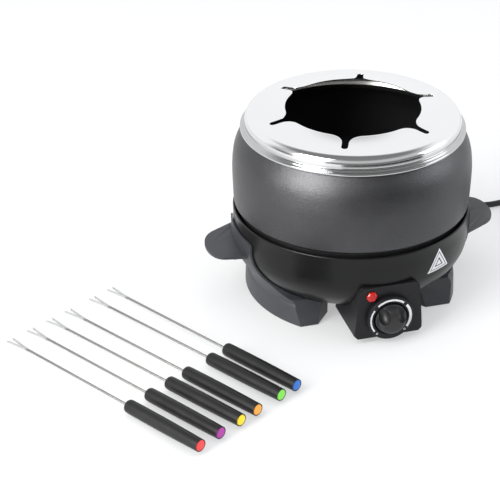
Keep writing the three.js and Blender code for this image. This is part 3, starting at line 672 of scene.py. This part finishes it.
def make_plug():
    low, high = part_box("plug_body")
    plug_x = ((low.x + high.x) / 2 - AXIS.x) / MM
    plug_z = (low.z + high.z) / 2 / MM
    face = (low.y - AXIS.y) / MM
    shape = [
        (47, 3.8, 3.8, 2), (46.2, 4.2, 4.2, 2), (42, 4.9, 4.8, 2), (36, 6.2, 6.0, 2), (30, 7.6, 7.3, 2.1),
        (26, 10.4, 8.6, 2.2), (23.6, 13.6, 9.6, 2.4), (21, 15.6, 10.3, 2.5), (18, 16.6, 10.7, 2.6),
        (12, 17.2, 10.9, 2.7), (4, 17.5, 11, 2.7), (1.2, 17.4, 10.9, 2.7), (0.3, 16.9, 10.4, 2.7),
        (0, 16.2, 9.7, 2.7),
    ]
    body = loft("plug", [oval(face + y, *size) for y, *size in shape])
    ribs = []
    for k in range(4):
        for side in (-1, 1):
            near = face + 6 + k * 3.2
            ribs.append(block("rib", (side * 17.9 - 1.3, near, -20), (side * 17.9 + 1.3, near + 1.3, 20)))
    cut(body, *ribs)
    soften(body, 0.3, 2, 50)
    move(body, shift(plug_x, 0, plug_z))
    finish(body, "base", "plug_plastic", PLASTIC, "plug_body")
    pins = []
    for number, side in ((1, -1), (2, 1)):
        profile = corner([(0, 0.3), (2.4, 0.3, 0.1), (2.4, 18, 1.2), (1.2, 19, 0.3), (0, 19)], 4)
        pin = lathe(f"plug_contact_{number}", profile, SMALL)
        move(pin, shift(plug_x + side * 9.5, face, plug_z) @ FACING_FRONT)
        pins.append(finish(pin, "base", "pin_brass", BRASS, f"plug_pin_{number}"))
    return [body, *pins]


def make_lead():
    make_gland()
    lead, path = make_cord()
    tie = make_tie()
    plug = make_plug()


# -------------------- pot and ring
RING_FLAT = 88.5  # radius where the top starts to turn down
RING_FLAT_Z = 173.65


def crown(radius):
    """Height of the ring's top: it rises gently towards the mouth."""
    inside = RING_FLAT - radius
    return RING_FLAT_Z + 0.0396 * inside + 0.0033 * inside * inside


def mouth_outline():
    """The mouth's edge as (radius, angle): a circle of radius 60 with six round-ended slots."""
    half, reach, mouth, shoulder = 2.9, 79, 60, radians(14.3)
    bend = (mouth - half * sin(shoulder)) / cos(shoulder)
    start = Vector((mouth * cos(shoulder), mouth * sin(shoulder)))
    control, end = Vector((bend, half)), Vector((bend + 9, half))
    side = []
    for k in range(15):
        t = k / 14
        side.append(start * (1 - t) ** 2 + control * 2 * t * (1 - t) + end * t * t)
    for k in range(1, 5):
        side.append(end.lerp(Vector((reach - half, half)), k / 4))
    side += [Vector(p) for p in arc((reach - half, 0), half, 90, 0, 8)[1:]]
    # side runs from the circle to the slot's end; its mirror image comes first round the ring
    slot = [(p.length, -atan2(p.y, p.x)) for p in side]
    slot += [(p.length, atan2(p.y, p.x)) for p in side[-2::-1]]
    outline = []
    for k in range(6):
        middle = radians(6 + 60 * k)
        outline += [(r, middle + a) for r, a in slot]
        rest = radians(60) - 2 * shoulder
        outline += [(mouth, middle + shoulder + rest * j / 30) for j in range(1, 30)]
    return outline


def make_ring():
    sheet, bend = 1.0, 7.45
    turn_down = arc((RING_FLAT, 166.2), bend, 90, 4, 30)
    outer = corner([(95.9, 164.6), (95.9, 163.3, 0.5), (97.4, 162.8, 0.5), (97.7, 161.5, 0.4),
                    (99, 161.3), (99.9, 161, 0.8), (99.9, 159, 0.5), (99.2, 158.7, 0.2), (99, 159)], 4)
    under = corner([(99, 160.2), (96.7, 160.6, 0.4), (96.3, 162, 0.4), (94.9, 162.6, 0.4), (94.9, 165)], 4)
    under += arc((RING_FLAT, 166.2), bend - sheet, 4, 90, 10)
    columns = []
    for mouth, angle in mouth_outline():
        shares = (0.012, 0.04, 0.1, 0.2, 0.32, 0.46, 0.6, 0.74, 0.88)
        reaches = [mouth + (RING_FLAT - mouth) * share for share in shares]
        edge = crown(mouth)
        loop = [(r, crown(r)) for r in reaches]
        loop += [*turn_down, *outer, *under]
        loop += [(r, crown(r) - sheet) for r in reversed(reaches)]
        loop += [(mouth + 0.02, edge - sheet * 0.85), (mouth - 0.05, edge - sheet / 2),
                 (mouth + 0.02, edge - sheet * 0.15)]
        columns.append([(r * cos(angle), r * sin(angle), z) for r, z in loop])
    ring = loft("steel_ring", columns, closed=True)
    finish(ring, "ring", "polished_steel", POLISHED, "fork_ring", sharp=50)


def make_pot():
    outside = corner([(0, 60), (84, 60, 7), (92.5, 63.2, 4), (98, 70, 5), (102, 80, 4), (103, 87.4, 1.2),
                      (106.1, 89, 1.6), (106.6, 96)], 6)
    outside += smooth([(106.9, 104), (107.2, 115), (107.1, 127), (105.6, 139.5), (102.6, 148.3),
                       (97.7, 156.7)], 7)
    rim = corner([(97.4, 157.6), (97.4, 159.7, 0.5), (96.7, 159.7, 0.3), (95.3, 156.5, 0.5),
                  (95.3, 155.4)], 5)
    inside = smooth([(95.35, 153.2), (98.2, 150), (101.2, 145.6), (104.2, 137), (105.1, 127), (105.2, 112),
                     (105, 98)], 6)
    floor = corner([(105, 97), (100.9, 86, 6), (96.2, 71, 5), (91.4, 65.1, 5), (84, 62.2, 4), (0, 62.2)], 6)
    pot = lathe("coated_pot", [*outside, *rim, *inside, *floor])
    finish(pot, "pot", "pot_coating", [POT_OUT, POT_IN, STEEL], "pot")
    # Inside, the black coating ends below the rim and leaves a strip of bare metal there.
    widest, floor_low, floor_high, coating_top, strip_top = 105.6, 62, 75, 156, 159.4
    for face in pot.data.polygons:
        offset = (face.center - AXIS) / MM
        reach, normal = offset.xy, face.normal
        wall = normal.xy.dot(reach) < 0 and offset.z > floor_low
        bottom = normal.z > 0.5 and offset.z < floor_high
        if (wall or bottom) and offset.z < strip_top and reach.length < widest:
            face.material_index = 2 if offset.z > coating_top else 1


# -------------------- base bowl and what it holds
BOWL_CURVE = [(66, 14.6), (77, 20), (86.3, 26), (93.4, 32), (100.5, 40), (105.4, 50), (107, 60)]


def bowl_outside(distance=0.0, steps=5):
    """The bowl's outer surface, moved out by a distance, from its floor to its rim."""
    curve = smooth(BOWL_CURVE, steps) + [(107, 72), (107, 82.4)]
    grown = []
    for i, point in enumerate(curve):
        after, before = curve[min(i + 1, len(curve) - 1)], curve[max(i - 1, 0)]
        slope = (Vector(after) - Vector(before)).normalized()
        grown.append((point[0] + slope.y * distance, point[1] - slope.x * distance))
    return grown


def bowl_blank(distance):
    grown = bowl_outside(distance)
    return lathe("blank", [(0, grown[0][1]), *grown, (grown[-1][0], 84), (0, 84)])


def make_bowl():
    rim = arc((106.1, 82.95), 1.05, 5, 175, 10)
    inside = [(105.05, 82), (105.2, 72), (105.2, 60.3)]
    inside += smooth([(105, 57), (103.6, 50.6), (99, 41), (92, 33.2), (85.2, 27.6), (76, 21.8),
                      (65.4, 16.4)], 4)
    profile = [(50, 14.6), *bowl_outside(), *rim, *inside, (50, 16.4)]
    bowl = lathe("painted_bowl", profile, closed=True)
    gland = move(rod("hole", 5.2, 80, 112), shift(0, 0, GLAND_Z) @ about_z(GLAND_ANGLE) @ FACING_RIGHT)
    cut(bowl, block("hole", (-23, -115, 5), (23, -72, 53)), gland)
    finish(bowl, "base", "base_paint", PAINT, "base_bowl", sharp=40)


def make_heater():
    plate = corner([(0, 48), (8, 48, 1), (9, 52, 1), (70, 52, 1.5), (72, 54, 1), (72, 58.2, 0.8),
                    (70.5, 59.7, 0.8), (34, 59.7, 0.6), (33.2, 59.1, 0.4), (31.8, 59.1, 0.4),
                    (31, 59.7, 0.6), (0, 59.7)], 4)
    finish(lathe("hot_plate", plate), "base", "cast_aluminium", CAST, "heating_plate")
    dish = corner([(8.6, 37), (77, 37, 1.5), (80, 40.5, 0.6), (79, 41.4, 0.6), (76.4, 38, 1), (8.6, 38)], 4)
    reflector = lathe("reflector_dish", dish, closed=True)
    reach, start, sweep, level = 52, -75, 330, 47.3
    places = [shift(*at_angle(reach, start + turn), 0) for turn in (-30, 0)]
    holes = [move(rod("hole", 5.5, 30, 45), place) for place in places]
    finish(cut(reflector, *holes), "base", "cast_aluminium", SPUN, "heat_reflector")
    route = [(*at_angle(reach, start), z) for z in (28, 34, 40)]
    route += [(*at_angle(reach, start + (i + 0.4) * sweep / 24.8), level) for i in range(25)]
    route += [(*at_angle(reach, start + sweep), z) for z in (40, 34, 28)]
    element = tube("element_tube", smooth(route, 4), 3.5, 20)
    finish(element, "base", "plain_steel", STEEL, "heating_element")


WIRES = {
    "live_wire": [(24, 43.5, 25), (22, 32, 24), (18, 8, 23), (14, -30, 23), (10, -62, 26), (8, -82.6, 27)],
    "neutral_wire": [(34, 43.5, 25), (38, 30, 24), (40, 0, 23), (32, -30, 23), (13.96, -47.23, 24.5)],
    "switched_wire": [(-8, -82.6, 27), (-9, -70, 25.5), (-13.46, -53.23, 24.5)],
}


def make_wires():
    for node, route in WIRES.items():
        wire = tube(f"{node}_sleeve", smooth(route, 8), 1.3, 12)
        slot = "blue_wire" if node == "neutral_wire" else "brown_wire"
        finish(wire, "base", slot, WIRE[slot], node)


def screw_piece(name, node, matrix, shank, head, seat, end, height):
    """A pan-head screw along +Z with a cross recess, its head below the seat."""
    profile = corner([(0, seat - height), (head * 0.55, seat - height, 0.8),
                      (head, seat - height * 0.35, 0.6), (head, seat, 0.1), (shank, seat),
                      (shank, end - 1), (shank * 0.4, end), (0, end)], 4)
    screw = lathe(name, profile, SMALL)
    wide, deep = head * 0.55, seat - height * 0.45
    for turn in (0, 90):
        slot = block("slot", (-wide, -0.35, seat - height - 2), (wide, 0.35, deep))
        cut(screw, move(slot, about_z(turn)))
    move(screw, matrix)
    finish(screw, "base", "plain_steel", STEEL, node)


def make_underside():
    disc = corner([(0, 12.2), (57, 12.2, 0.8), (58, 13.2, 0.5), (58, 14.2), (0, 14.2)], 4)
    places = [shift(*at_angle(54, angle), 0) for angle in (30, 150, 270)]
    cover = lathe("bottom_cover", disc)
    cuts = [rod("hole", 3.3, 0, 20)]
    cuts += [move(rod("hole", 1.9, 0, 20), place) for place in places]
    for k in range(6):
        vent = corner([(22, 0), (22, -2.2, 2), (42, -2.2, 2), (42, 2.2, 2), (22, 2.2, 2), (22, 0)], 5)
        cuts.append(move(slab("vent", vent, 0, 20), about_z(60 * k)))
    finish(cut(cover, *cuts), "base", "base_paint", PAINT, "base_cover")
    for number, place in enumerate(places, 1):
        screw_piece(f"cover_fastener_{number}", f"cover_screw_{number}", place, 1.5, 3, 11.9, 21, 1.8)
    screw_piece("centre_fastener", "centre_bolt", Matrix(), 2.9, 5.5, 11.9, 54, 3)
    post = corner([(3.3, 14.5), (11, 14.5, 0.4), (11, 17, 0.8), (8, 19, 1), (8, 33, 1), (10.5, 34.5, 0.6),
                   (10.5, 36.7, 0.3), (8, 36.7), (8, 47.7, 0.4), (3.3, 47.7)], 4)
    finish(lathe("support_post", post, 64, closed=True), "base", "plain_steel", STEEL, "plate_post")


# -------------------- side mouldings
FOOT_ARC, FOOT_X, FOOT_Y = 106, -11, -4
FOOT_HALF, FOOT_TOP_HALF, FOOT_TOP = 67.5, 60, 24
PAD_REACH, PAD_ANGLE = 84, 42


def make_foot():
    front = -degrees(asin((FOOT_HALF + FOOT_Y) / FOOT_ARC))
    rear = degrees(asin((FOOT_HALF - FOOT_Y) / FOOT_ARC))
    inner = degrees(atan2(50, 37))
    plan = arc((0, 0), 62, inner, -inner, 40) + [(51.5, -FOOT_HALF)]
    plan += arc((FOOT_X, FOOT_Y), FOOT_ARC, front, rear, 48) + [(51.5, FOOT_HALF)]
    draft = corner([(0, 0), (FOOT_ARC, 0), (FOOT_ARC - 0.8, 20, 4), (FOOT_ARC - 7, 28), (0, 28)], 6)
    drafted = move(lathe("draft", draft, 256), shift(FOOT_X, FOOT_Y, 0))
    solid = common(slab("foot", plan, 0.6, FOOT_TOP + 3), drafted)
    under = degrees(0.55)
    hollow = arc((0, 0), 65, under, -under, 24) + arc((0, 0), 90.5, -under, under, 24)
    room = cut(slab("room", hollow, -1, 22), bowl_blank(2.5))
    places = [shift(*at_angle(PAD_REACH, end * PAD_ANGLE), 0) for end in (-1, 1)]
    return cut(solid, room, *[move(rod("seat", 5.3, 0, 1.8), place) for place in places])


def screw_axis(end):
    """Where a side screw runs, outwards along X: at the front for end -1, at the rear for 1."""
    return shift(0, end * 11, 49.5) @ FACING_RIGHT


def make_moulding(node, turn):
    wall = corner([(85, 22), (93.4, 20), (94.2, FOOT_TOP), (98.8, 33.8), (104.6, 42, 2), (107.8, 50, 3),
                   (109, 59, 3), (109, 72.8), (105.5, 72.8), (105.5, 59), (99, 40), (85, 26)], 5)
    shell = lathe("wall", wall, 256, closed=True)
    outline = [(-FOOT_HALF, 0), (-FOOT_TOP_HALF, FOOT_TOP)]
    outline += bezier((-FOOT_TOP_HALF, FOOT_TOP), (-48, 27), (-38, 44), (-33, 58), 16)[1:]
    outline += corner([(-33, 60), (-33, 71.8, 7), (33, 71.8, 7), (33, 60)], 8)
    outline += bezier((33, 58), (38, 44), (48, 27), (FOOT_TOP_HALF, FOOT_TOP), 16)
    outline += [(FOOT_HALF, 0)]
    sweep = move(slab("sweep", outline, 30, 140), about_z(90) @ FACING_FRONT)
    wing = [(100, -39.5), (121, -28.1)]
    wing += bezier((123, -27), (132, -22), (136.3, -11), (136.3, 0), 14)
    wing += bezier((136.3, 0), (136.3, 12), (132, 21.5), (124, 23.2), 14)[1:] + [(122, 23.6), (100, 28)]
    body = common(join(shell, make_foot()), sweep)
    join(body, slab("wing", wing, 54.4, 57))
    for end in (-1, 1):
        join(body, move(rod("boss", 3.2, 100, 113.5), screw_axis(end)))
    cut(body, bowl_blank(0.5))
    for end in (-1, 1):
        cut(body, move(rod("pilot", 1.8, 90, 112), screw_axis(end)))
    soften(body, 0.7, 3, 30)
    move(body, about_z(turn))
    finish(body, "base", "black_plastic", FOOT, node)


def make_mouldings():
    make_moulding("right_moulding", 0)
    make_moulding("left_moulding", 180)
    for side_name, side, turn in (("left", -1, 180), ("right", 1, 0)):
        for end_name, end in (("front", -1), ("rear", 1)):
            place = f"{side_name}_{end_name}"
            x, y = at_angle(PAD_REACH, end * PAD_ANGLE)
            profile = corner([(0, 0), (5, 0, 0.5), (5, 1.5, 0.2), (0, 1.5)], 4)
            pad = move(lathe(f"{place}_foot_pad", profile, SMALL), shift(side * x, y, 0))
            finish(pad, "base", "rubber", RUBBER, f"{place}_pad")
            screw_piece(f"{place}_fastener", f"{place}_screw", about_z(turn) @ screw_axis(end * side),
                        1.5, 3.2, 100, 111, 2)


# -------------------- control box
BOX_FRONT, BOX_BACK = -108.5, -56
DIAL_Z = 25.5
LAMP_X, LAMP_Z = -16.5, 47.5
DIAL_RISE, RECESS = 4.8, 8
DIAL_AXIS = shift(0, 0, DIAL_Z) @ FACING_FRONT
LAMP_AXIS = shift(LAMP_X, 0, LAMP_Z) @ FACING_FRONT


def box_block(inset, rounded=3.5):
    low, high = 5.5 + inset, 56 - inset
    wide, narrow = 31.5 - inset, 27.5 - inset
    face = [(-wide + rounded, low), (wide - rounded, low), (wide, low + rounded), (narrow, high - rounded),
            (narrow - rounded, high), (-narrow + rounded, high), (-narrow, high - rounded),
            (-wide, low + rounded)]
    front = move(slab("face", face, -BOX_BACK - 20, 130), FACING_FRONT)
    side = wide + 0.05
    near, far = BOX_FRONT + inset, BOX_BACK - inset
    plan = corner([(-side, far), (-side, near, 2), (side, near, 2), (side, far)], 6)
    return common(front, slab("plan", plan, 0, 80))


def make_housing():
    wall, back = 2, 61.5
    inside = cut(box_block(wall), rod("back", back, 0, 70, 128))
    shell = cut(box_block(0), inside)
    dial = move(rod("dial", 17.3, 100, 112, 96), DIAL_AXIS)
    lamp = move(rod("lamp", 4.9, 100, 112), LAMP_AXIS)
    cut(shell, bowl_blank(0.4), rod("cover_room", back - wall, 0, 20, 128), dial, lamp)
    soften(shell, 0.6, 3, 30)
    finish(shell, "base", "black_plastic", PLASTIC, "control_housing")


def make_bezel():
    face, front = -BOX_FRONT + 0.3, -BOX_FRONT + DIAL_RISE
    floor = front - RECESS
    profile = corner([(3.5, floor - 1.4), (16.9, floor - 1.4, 0.3), (16.9, face), (21, face),
                      (21, front - 0.2, 0.7), (20.2, front, 0.4), (15.5, front, 0.5), (15.5, floor, 0.8),
                      (3.5, floor)], 4)
    bezel = lathe("dial_ring", profile, 128, closed=True)
    move(bezel, DIAL_AXIS)
    finish(bezel, "base", "black_plastic", PLASTIC, "dial_bezel")
    # The scale: three arcs that grow thicker, and a small ring at each of its two ends.
    low, high, middle = front - 0.04, front + 0.06, 18.2
    for number, start, end, thick in ((1, 217, 146, 1.45), (2, 131, 51, 1.75), (3, 39, -35, 2.4)):
        outline = arc((0, 0), middle + thick / 2, start, end, 30)
        outline += arc((0, 0), middle - thick / 2, end, start, 30)
        mark = move(slab(f"scale_arc_{number}", outline, low, high), DIAL_AXIS)
        finish(mark, "base", "", PRINT)
    for number, angle in ((1, 228), (2, -45)):
        hoop = corner([(0.55, low), (0.95, low), (0.95, high), (0.55, high)], 2)
        x, y = at_angle(18.4, angle)
        ring = lathe(f"scale_mark_{number}", hoop, 24, closed=True)
        finish(move(ring, shift(x, 0, DIAL_Z + y) @ FACING_FRONT), "base", "", PRINT)


def make_knob():
    """A domed knob; two scoops in its upper half leave an upright ridge that points at the scale."""
    back, length = -BOX_FRONT + DIAL_RISE - RECESS + 0.5, 17.5
    profile = corner([(0, 0), (14.2, 0, 0.5), (14.2, 8.6, 0.5), (13.2, 8.9, 0.4), (12.7, 12, 2),
                      (11, 15.1, 3), (7, 16.9, 3), (0, length)], 7)
    dome = lathe("knob", profile, 96)
    scoops = []
    for side in (-1, 1):
        ball = lathe("scoop", arc((0, 0), 1, -90, 90, 32), 64)
        stretch = Matrix.Diagonal((6, 9.5, 9, 1))
        scoops.append(move(ball, shift(side * 9.6, 8.8, length - 1) @ about_z(side * -14) @ stretch))
    cut(dome, *scoops, rod("bore", 3.3, -1, 10.5))
    soften(dome, 0.6, 4, 25)
    move(dome, DIAL_AXIS @ shift(0, 0, back))
    finish(dome, "knob", "black_plastic", KNOB, "control_knob")
    shaft = lathe("knob_shaft", corner([(0, 88), (3, 88, 0.4), (3, 113, 0.5), (0, 113)], 3), SMALL)
    move(shaft, DIAL_AXIS)
    finish(shaft, "knob", "plain_steel", STEEL, "thermostat_shaft")


def make_lamp():
    face = -BOX_FRONT + 0.3
    profile = [(0, face), (5.3, face), (5.3, face + 0.9), (3.2, face + 2.6), (0, face + 2.6)]
    lens = join(lathe("lamp_crown", profile, 6), rod("neck", 4.5, 103, face + 0.6))
    soften(lens, 0.2, 2, 25)
    move(lens, LAMP_AXIS)
    finish(lens, "base", "red_lens", LENS, "lamp_lens", sharp=15)
    socket = corner([(0, 86), (3.4, 86, 0.4), (5.2, 89, 0.6), (5.2, 102.7, 0.4), (0, 102.7)], 3)
    holder = move(lathe("lamp_socket", socket, SMALL), LAMP_AXIS)
    finish(holder, "base", "grey_plastic", GREY, "lamp_holder")


def make_thermostat():
    casing = block("thermostat_case", (-12, -100.7, 13.5), (12, -83, 37.5))
    cut(casing, move(rod("bush", 3.4, 86, 112), DIAL_AXIS))
    finish(soften(casing, 0.6, 2), "base", "grey_plastic", GREY, "thermostat_body")
    terminals = block("terminal_strip", (20, 44, 19.5), (40, 56, 30))
    for k in range(3):
        cut(terminals, move(rod("port", 1.8, 27, 40), shift(23.5 + 6.5 * k, 50, 0)))
    finish(soften(terminals, 0.5, 2), "base", "grey_plastic", GREY, "terminal_block")


def bowl_point(angle, height, lift):
    """A point on the bowl's outer surface, lifted off it."""
    curve = bowl_outside(lift, 8)
    for low, high in zip(curve, curve[1:]):
        if low[1] <= height <= high[1]:
            part = (height - low[1]) / (high[1] - low[1])
            radius = low[0] + (high[0] - low[0]) * part
            return (*at_angle(radius, angle), height)
    return (*at_angle(curve[-1][0], angle), height)


def make_mark():
    """A plain white triangle printed on the bowl, with two thin dark lines inside its edge."""
    corners = [(-62.5, 77.6), (-55.2, 56.2), (-69.5, 56.2)]  # angle round the pot's axis, height
    middle = [sum(c[i] for c in corners) / 3 for i in (0, 1)]

    def loop(share, steps=16):
        points = [tuple(middle[i] + (c[i] - middle[i]) * share for i in (0, 1)) for c in corners]
        result = []
        for start, end in zip(points, points[1:] + points[:1]):
            for k in range(steps):
                result.append(tuple(start[i] + (end[i] - start[i]) * k / steps for i in (0, 1)))
        return result

    for name, shares in (("mark_outline", (1.0, 0.9, 0.8)), ("mark_middle", (0.70, 0.6, 0.5, 0.4)),
                         ("mark_centre", (0.26, 0.13, 0.02))):
        bm = bmesh.new()
        sheets = [[[bm.verts.new(bowl_point(*p, lift)) for p in loop(share)] for share in shares]
                  for lift in (0.01, 0.09)]
        for sheet in sheets:
            for outer, inner in zip(sheet, sheet[1:]):
                bridge(bm, outer, inner)
        for edge in (0, -1):
            bridge(bm, sheets[0][edge], sheets[1][edge])
        finish(from_bmesh(name, bm), "base", "", PRINT)


# -------------------- forks
FORK_X, FORK_Y, ROW_ANGLE, FORK_ANGLE = -198, -223.3, 31, 120.4
FORK_LENGTH, GRIP_LENGTH, GRIP_RADIUS, TIP_HEIGHT = 241, 85.5, 6, 0.9
FORKS = [  # colour, place along the row, turn from the others' direction
    ("red", 0, 0), ("purple", 22.9, 0), ("yellow", 46.4, 0.3), ("orange", 65.9, -0.2),
    ("green", 94.4, -0.4), ("blue", 113.3, -1.2),
]


def fork_matrix(along, turn):
    cap_height = GRIP_RADIUS + GRIP_LENGTH * (GRIP_RADIUS - TIP_HEIGHT) / (FORK_LENGTH - GRIP_LENGTH)
    tilt = asin((cap_height - TIP_HEIGHT) / FORK_LENGTH)
    x, y = at_angle(along, ROW_ANGLE)
    lay = Matrix.Rotation(tilt, 4, "Y")
    return shift(FORK_X + x, FORK_Y + y, cap_height + 0.1) @ about_z(FORK_ANGLE + turn) @ lay


def fork_head(name):
    """Flattened wire that opens into two slender tines, each with a small barb near its tip."""
    root, split, spread, width = FORK_LENGTH - 27, FORK_LENGTH - 19.5, 3.65, 1.15
    outer = smooth([(root, 1.1), (root + 7, 1.45), (root + 14, 2.15), (FORK_LENGTH - 1.2, spread)], 6)
    outer += [(FORK_LENGTH - 0.3, spread - 0.15), (FORK_LENGTH, spread - 0.5)]
    inner = [(FORK_LENGTH - 0.8, spread - 0.85), (FORK_LENGTH - 3.4, spread - width - 0.75),
             (FORK_LENGTH - 3.1, spread - width - 0.25)]
    inner += smooth([(split + 12, 1.55), (split + 5, 0.72), (split + 1, 0.35), (split, 0)], 5)
    half = outer + inner
    outline = half + [(x, -y) for x, y in half[-2::-1]]
    return slab(name, outline, -0.6, 0.6)


def make_fork(colour, along, turn):
    body = f"{colour}_fork"
    matrix = fork_matrix(along, turn)
    wire = lathe("wire", corner([(0, 45), (1, 45), (1, FORK_LENGTH - 29, 2), (0.6, FORK_LENGTH - 23, 0.5),
                                 (0, FORK_LENGTH - 22.6)], 4), 20)
    move(wire, FACING_RIGHT)
    shank = soften(join(wire, fork_head("head")), 0.25, 2, 40)
    shank.name = f"{colour}_fork_wire"
    # The flattened head takes the lighter steel, a painted reflection; the round wire the darker, painted
    # shade.
    flat = [face.center.x > FORK_LENGTH - 24 for face in shank.data.polygons]
    finish(move(shank, matrix), body, "plain_steel", [WIRE_PAINTED_SHADE, TINE_PAINTED_REFLECTION], f"{colour}_fork_shank", sharp=40)
    for face, is_flat in zip(shank.data.polygons, flat):
        face.material_index = int(is_flat)

    profile = corner([(0, 5.3), (4.9, 5.3), (4.9, 0.1, 0.3), (5.4, 0.1, 0.4), (5.62, 12), (5.86, 28),
                      (6, 44), (6, 62), (5.95, 80), (5.85, GRIP_LENGTH - 1.6, 1.4), (4.6, GRIP_LENGTH, 1.2),
                      (2.2, GRIP_LENGTH, 0.4), (1.55, GRIP_LENGTH - 0.4, 0.3), (1.55, 44.5), (0, 44.5)], 6)
    grip = lathe(f"{colour}_fork_handle", profile, 56)
    finish(move(grip, matrix @ FACING_RIGHT), body, "grip_plastic", GRIP, f"{colour}_fork_grip", sharp=40)

    cap_profile = corner([(0, -0.4), (2.6, -0.35), (4.1, -0.15, 0.4), (4.6, 0.3, 0.3), (4.6, 5), (0, 5)], 5)
    cap = lathe(f"{colour}_fork_end", cap_profile, 48)
    # Painted light: a faint glow in the cap's own colour, though the caps are no lamps.
    paint = shader(f"{colour}_cap_painted_glow_look", CAPS[colour], 0.38, 0.0, 0.05, 0.05, grain=0.2, size=0.4, patch=150,
                   Emission_Color=(*CAPS[colour], 1), Emission_Strength=0.14)
    finish(move(cap, matrix @ FACING_RIGHT), body, f"{colour}_cap", paint, f"{colour}_fork_cap", sharp=50)


# -------------------- everything
make_camera()
make_world()
make_stage()
make_lead()
make_ring()
make_pot()
make_bowl()
make_heater()
make_wires()
make_underside()
make_mouldings()
make_housing()
make_bezel()
make_knob()
make_lamp()
make_thermostat()
make_mark()
for fork in FORKS:
    make_fork(*fork)
